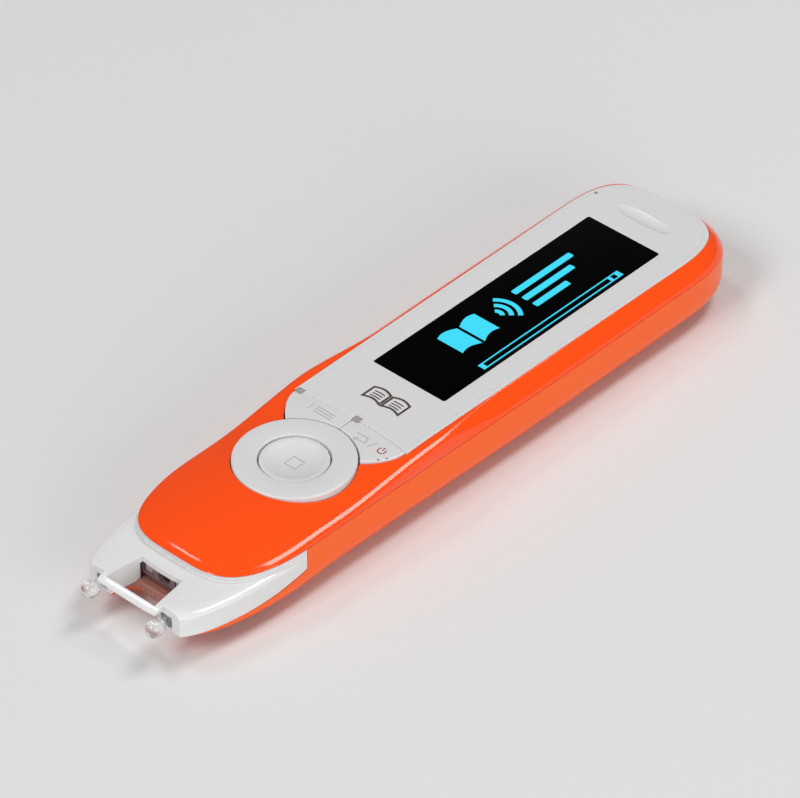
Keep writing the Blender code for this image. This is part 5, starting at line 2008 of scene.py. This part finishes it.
@dataclass
class ClearNose(SubAssembly):
    """The clear nose with its collar, roof, reading window and front bar."""

    top: float = 9.1 * MM
    edge: float = 0.9 * MM
    edge_wide: float = 2.6
    corner: float = 0.85 * MM
    joint: float = 0.16 * MM
    collar_offset: float = 0.5 * MM
    collar_gap: float = 0.12 * MM
    collar_rise: float = 0.06 * MM
    step_overlap: float = 0.1 * MM
    roof: float = 1.0 * MM
    wall_x: float = -57.5 * MM
    mouth_rear_x: float = -56.9 * MM
    mouth_front_x: float = -64.05 * MM
    mouth_rear_half: float = 4.36 * MM
    mouth_front_half: float = 5.3 * MM
    mouth_bow: float = 0.3 * MM
    bar_depth: float = 0.9 * MM
    notch_back_x: float = -63.3 * MM
    notch_inner: float = 6.3 * MM
    notch_outer: float = 8.9 * MM
    cheek_web: float = 0.5 * MM
    arm_room: Point2 = mm(1.15, 1.1)
    hair: float = 0.01 * MM
    sill: tuple[tuple[float, ...], ...] = (
        mm(-58.12, -57.1, 4.06, 4.6, 5.31), mm(-58.1, -55.8, 5.0, 4.62, 4.8),
        mm(-58.14, -57.9, 3.9, 3.02, 4.8), mm(-58.28, -58.0, 3.98, 5.12, 5.33),
        mm(-58.24, -58.0, 3.94, 4.3, 4.5))
    liner_low: float = 3.5 * MM
    liner_skin: float = 0.12 * MM
    liner_depth: float = 2.6 * MM
    liner_behind: float = 0.5 * MM
    liner_beside: float = 0.2 * MM
    liner_rise: float = 0.02 * MM
    sill_edge: float = 0.05 * MM
    corner_over: float = 0.05 * MM

    def build(self) -> None:
        """Make the nose, and the sill below its mouth, whose dark colour is painted shade."""
        form = self.form
        collar_top = form.seam + self.collar_rise - self.collar_gap
        edge = form.plan(form.nose_front_x, form.nose_powers)
        columns = form.rounded_top(edge, -form.over, lambda x, y: self.top,
                                   lambda x: self.edge, 16, (0.66, 0.33, 0.0), self.edge_wide)
        piece = Bench.loft(columns)
        collar = Bench.plate(closed_plan(form.plan(form.casing_front_x, form.casing_powers)),
                             0.0, collar_top)
        skirt = Bench.plate(closed_plan(form.plan(form.casing_front_x - self.collar_offset,
                                                  form.casing_powers)),
                            0.0, (collar_top + self.top) / 2)
        Bench.combine(piece, Operation.JOIN, collar, skirt)
        across = form.rear_half + form.over
        outline = form.nose_side(-self.step_overlap, self.joint, collar_top + form.over)
        side = Bench.upright(1, outline, -across, across)
        Bench.combine(piece, Operation.KEEP, side)
        Bench.combine(piece, Operation.CUT, *self.rooms(collar_top), *self.tip_rooms(),
                      *self.corners())
        Bench.settle(piece)
        self.dress(piece, "clear_nose", Body.CASING, "clear_plastic", ["nose_shell"],
                   smooth=28.0)
        self.mouth_shade_sill()

    def mouth_shade_sill(self) -> None:
        """Make the ribbed sill that lines the notch below the mouth, dark red-brown as painted
        shade on the orange lip.
        """
        form = self.form
        boxes = [Bench.box((front, -half, low), (rear, half, high))
                 for front, rear, half, low, high in self.sill]
        back, half, _ = form.lip_notch
        across = half + self.liner_beside
        liner = Bench.box((back - self.liner_depth, -across, self.liner_low),
                          (back + self.liner_behind, across,
                           form.lip_height + self.liner_rise))
        Bench.combine(liner, Operation.CUT,
                      Bench.plate(form.notch_outline(self.liner_skin), -form.over, self.top))
        sill = Bench.combine(liner, Operation.JOIN, *boxes)
        Bench.round_edges(sill, self.sill_edge, 2, 50.0)
        # The sill's dark red-brown is painted shade on the orange lip.
        self.dress(sill, "mouth_shade_sill", Body.CASING, "orange_casing", (), "sill_painted_shade")

    def corners(self) -> list[Piece]:
        """The rounding of both cheeks' front ends, beside the feet.

        Returns:
            The tools.
        """
        form = self.form
        rim = form.plan(form.nose_front_x, form.nose_powers, self.corner, steps=90)
        wall = self.notch_outer + self.corner
        x, _, normal = min((point for point in rim if point[0] < form.taper_end_x),
                           key=lambda point: abs(point[1] - wall))
        first = -math.pi / 2
        last = math.atan2(normal.y, normal.x) - 2 * math.pi
        points = arc((x, wall), self.corner, math.degrees(first), math.degrees(last), 8)
        far = 2.0 * self.corner
        over = self.corner_over
        points += [(points[-1][0] + normal.x * over, points[-1][1] + normal.y * over),
                   (x - 3 * far, wall), (x - 3 * far, wall - far),
                   (x, wall - self.corner - over)]
        tools = []
        for side in (1, -1):
            tool = Bench.plate([(px, side * py) for px, py in points], -form.over,
                               self.top + form.over)
            tools.append(Bench.combine(tool, Operation.KEEP, Bench.box(
                (form.front_x - form.over, -form.rear_half, -2 * form.over),
                (self.notch_back_x, form.rear_half, self.top + 2 * form.over))))
        return tools

    def rooms(self, collar_top: float) -> list[Piece]:
        """The hollow under the casing's front, and the space under the roof.

        Args:
            collar_top: The collar's upper height.

        Returns:
            The tools.
        """
        form = self.form
        tall = form.plan(form.casing_front_x, form.casing_powers, form.wall)
        low = form.plan(form.nose_front_x, form.nose_powers, form.wall)
        under = Bench.plate(closed_plan(low), -form.over, self.top - self.roof)
        keep = Bench.box((self.wall_x, -form.rear_half, -2 * form.over),
                         (form.rear_x, form.rear_half, collar_top))
        Bench.combine(under, Operation.KEEP, keep)
        return [Bench.plate(closed_plan(tall), -form.over, collar_top + form.over), under]

    def tip_rooms(self) -> list[Piece]:
        """The reading window, the open front under the bar and the feet's channels.

        Returns:
            The tools.
        """
        form = self.form
        front = form.front_x - form.over
        points = [(self.mouth_front_x, self.mouth_front_half),
                  (self.mouth_front_x, -self.mouth_front_half)]
        for step in range(25):
            share = 2 * step / 24 - 1
            points.append((self.mouth_rear_x - self.mouth_bow * (1 - share ** 2),
                           self.mouth_rear_half * share))
        bar_low = self.top - self.bar_depth
        tools = [Bench.plate(points, -form.over, self.top + form.over),
                 Bench.box((front, -self.mouth_front_half, -form.over),
                           (self.mouth_front_x + self.hair, self.mouth_front_half, bar_low))]
        for side in (1, -1):
            outer = side * self.notch_outer
            for inner, low, high in (
                    (self.mouth_front_half - self.cheek_web, -form.over, bar_low),
                    (self.notch_inner, bar_low - self.hair, self.top + form.over)):
                inner *= side
                tools.append(Bench.box((front, min(inner, outer), low),
                                       (self.notch_back_x, max(inner, outer), high)))
            reach, rise = self.arm_room
            y, z = side * form.foot_side, form.foot_height
            tools.append(Bench.box((self.notch_back_x - self.hair, y - reach, z - rise),
                                   (self.wall_x + self.hair, y + reach, z + rise)))
        return tools


@dataclass
class FootYoke(SubAssembly):
    """The sprung yoke with its two ball feet."""

    foot_x: float = -66.02 * MM
    radius: float = 1.48 * MM
    neck: float = 0.75 * MM
    neck_root: float = 0.6 * MM
    arm_x: float = -63.5 * MM
    bar_x: Point2 = mm(-54.9, -53.55)
    bar_z: Point2 = mm(4.25, 5.35)
    half: float = 0.95 * MM
    arm_half: float = 0.9 * MM
    boss: Point3 = mm(6.0, 0.75, 5.95)
    edge: float = 0.18 * MM
    hair: float = 0.02 * MM

    def build(self) -> None:
        """Make the yoke: a bar, an arm and a post on each side, a boss and the feet."""
        front, rear = self.bar_x
        low, high = self.bar_z
        side_y, z = self.form.foot_side, self.form.foot_height
        piece = Bench.box((front, -side_y - self.half, low), (rear, side_y + self.half, high))
        tools, feet = [], []
        for y in (side_y, -side_y):
            tools.append(Bench.box((self.arm_x, y - self.half, z - self.arm_half),
                                   (rear - self.hair, y + self.half, z + self.arm_half)))
            tools.append(Bench.box(
                (front + self.hair, y - self.half + self.hair, low + self.hair),
                (rear - 2 * self.hair, y + self.half - self.hair, z)))
        boss_y, boss_half, boss_top = self.boss
        inset = 1.5 * self.hair
        tools.append(Bench.box((front + inset, boss_y - boss_half, low + inset),
                               (rear - inset, boss_y + boss_half, boss_top)))
        Bench.combine(piece, Operation.JOIN, *tools)
        Bench.settle(piece)
        Bench.round_edges(piece, self.edge, 3, 50.0)
        for y in (side_y, -side_y):
            feet.append(Bench.bar((self.foot_x, y, z), (self.arm_x + self.neck_root, y, z),
                                  self.neck, 40))
            feet.append(Bench.ball((self.foot_x, y, z), self.radius, 56))
        Bench.combine(piece, Operation.JOIN, *feet)
        Bench.settle(piece)
        self.dress(piece, "foot_yoke", Body.YOKE, "clear_plastic", ["tip_yoke"], "clear_foot")


@dataclass
class TipSpring(SubAssembly):
    """The wound spring that pushes the yoke out."""

    front_x: float = -53.2 * MM
    rear_x: float = -49.6 * MM
    side: float = 6.0 * MM
    height: float = 5.2 * MM
    radius: float = 0.75 * MM
    wire: float = 0.14 * MM
    turns: int = 5
    turn_steps: int = 24
    pressed: float = 0.77

    def build(self) -> None:
        """Wind the wire on a path."""
        Bench.clear()
        bpy.ops.curve.primitive_bezier_curve_add(location=(0.0, 0.0, 0.0))
        piece = bpy.context.object
        curve = piece.data
        curve.dimensions = "3D"
        curve.splines.clear()
        line = curve.splines.new("POLY")
        steps = self.turns * self.turn_steps
        line.points.add(steps)
        start = self.front_x + self.wire
        span = self.rear_x - self.front_x - 2 * self.wire
        for step, point in enumerate(line.points):
            angle = math.tau * self.turns * step / steps
            point.co = (start + span * step / steps, self.side + self.radius * math.cos(angle),
                        self.height + self.radius * math.sin(angle), 1.0)
        curve.bevel_depth = self.wire
        curve.bevel_resolution = 2
        curve.use_fill_caps = True
        bpy.ops.object.convert(target="MESH")
        piece = Bench.settle(bpy.context.object)
        self.dress(piece, "yoke_spring", Body.CASING, "steel", ["tip_spring"])
        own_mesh(piece)


@dataclass
class Screws(SubAssembly):
    """The four casing screws with their crossed slots."""

    head: Point2 = mm(1.3, 0.9)
    shaft: float = 0.7 * MM
    tip: float = 9.3 * MM
    recess: float = 0.3 * MM
    slot: Point2 = mm(0.8, 0.18)
    head_edge: tuple[Point2, ...] = (mm(0.25, 0.0), mm(0.07, 0.08), mm(0.0, 0.28))

    def build(self) -> None:
        """Make each screw as long as its place asks for."""
        for number, (x, y) in enumerate(self.form.screw_places, 1):
            low = self.form.belly(x) + self.recess
            piece = self.screw(self.tip - low)
            for vertex in piece.data.vertices:
                vertex.co += Vector((x, y, low))
            self.dress(piece, f"screw_{number}", Body.CASING, "steel",
                       [f"casing_screw_{number}"])

    def screw(self, rise: float) -> Piece:
        """One screw that stands on its head at the origin.

        Args:
            rise: Its length.

        Returns:
            The screw.
        """
        head_radius, head_height = self.head
        profile = [(0.0, 0.0), *((head_radius - inset, up) for inset, up in self.head_edge),
                   (head_radius, head_height), (self.shaft, head_height),
                   (self.shaft, rise - self.shaft), (self.shaft / 3, rise), (0.0, rise)]
        piece = Bench.turned(profile, (0.0, 0.0), 64)
        arm, half = self.slot
        Bench.combine(piece, Operation.CUT, *[
            Bench.box((-dx, -dy, -MM), (dx, dy, head_height / 2))
            for dx, dy in ((arm, half), (half, arm))])
        return Bench.settle(piece)


@dataclass
class InnerParts(SubAssembly):
    """The CAD nodes that stay, each with its slot's finish."""

    record: dict = field(default_factory=dict)
    nodes: dict = field(default_factory=dict)
    special: dict = field(default_factory=lambda: {"light_baffle": "baffle_plastic"})

    def build(self) -> None:
        """Give every node its finish."""
        slots = {part["node"]: part["material_slot"] for part in self.record["subparts"]}
        for name, node in self.nodes.items():
            node.data.materials.clear()
            node.data.materials.append(self.palette.get(self.special.get(name, slots[name])))
        log.info("finished %d CAD nodes", len(self.nodes))


# Studio
@dataclass(frozen=True)
class Lamp:
    """A soft rectangular lamp that faces a point."""

    name: str
    place: Point3
    size: Point2
    power: float
    target: Point3 = (0.0, 0.0, 0.0)

    def hang(self) -> None:
        """Hang the lamp."""
        Bench.clear()
        turn = (Vector(self.place) - Vector(self.target)).to_track_quat("Z", "Y").to_euler()
        bpy.ops.object.light_add(type="AREA", location=self.place, rotation=turn)
        lamp = bpy.context.object
        lamp.name = self.name
        lamp.data.shape = "RECTANGLE"
        lamp.data.size, lamp.data.size_y = self.size
        lamp.data.energy = self.power


@dataclass
class Studio:
    """The table, the lamps and the camera."""

    palette: Palette
    camera_place: Point3 = (-0.50390, -0.45972, 0.55399)
    camera_turn: Point3 = (51.394, 0.0, -47.496)
    lens: float = 243.0
    sensor: float = 36.0
    clip: Point2 = (0.01, 20.0)
    table_size: float = 6.0
    sky: float = 0.17
    lamps: tuple[Lamp, ...] = (
        Lamp("key_strip", (0.39, -0.115, 0.82), (0.5, 0.23), 3.3, (0.39, -0.115, 0.0)),
        Lamp("back_lamp", (-0.05, 0.48, 0.86), (0.16, 0.22), 1.1),
        Lamp("near_lamp", (-0.3, -0.95, 0.3), (0.9, 0.5), 5.4),
        Lamp("left_lamp", (-0.86, 0.06, 0.83), (0.4, 0.4), 6.0))

    def build(self) -> None:
        """Make the studio."""
        self.table()
        for lamp in self.lamps:
            lamp.hang()
        self.sky_light()
        self.camera()

    def table(self) -> None:
        """Lay the pale table."""
        Bench.clear()
        bpy.ops.mesh.primitive_plane_add(size=self.table_size, location=(0.0, 0.0, 0.0))
        table = bpy.context.object
        table.name = "table"
        table.data.materials.append(self.palette.get("table_paper"))

    def sky_light(self) -> None:
        """Fill the room with plain light."""
        world = bpy.data.worlds.new("room")
        world.use_nodes = True
        surface = world.node_tree.nodes["Background"]
        surface.inputs["Color"].default_value = (1.0, 1.0, 1.0, 1.0)
        surface.inputs["Strength"].default_value = self.sky
        bpy.context.scene.world = world

    def camera(self) -> None:
        """Place the camera at the photographed view."""
        Bench.clear()
        turn = tuple(math.radians(angle) for angle in self.camera_turn)
        bpy.ops.object.camera_add(location=self.camera_place, rotation=turn)
        camera = bpy.context.object
        camera.name = "view_camera"
        camera.data.sensor_width = self.sensor
        camera.data.lens = self.lens
        camera.data.clip_start, camera.data.clip_end = self.clip
        bpy.context.scene.camera = camera


def main() -> None:
    """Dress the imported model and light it."""
    logging.basicConfig(level=logging.INFO, format="%(name)s: %(message)s")
    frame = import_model()
    bpy.context.scene.view_settings.view_transform = "Standard"
    form = PenForm()
    palette = Palette()
    Studio(palette).build()
    InnerParts(form, palette, frame["record"], frame["nodes"]).build()
    for assembly in (UpperCasing, LowerCasing, FacePanel, Display, NavRing, CentreButton, Keys,
                     ClearNose, FootYoke, TipSpring, Screws):
        assembly(form, palette).build()


if __name__ == "__main__":
    main()
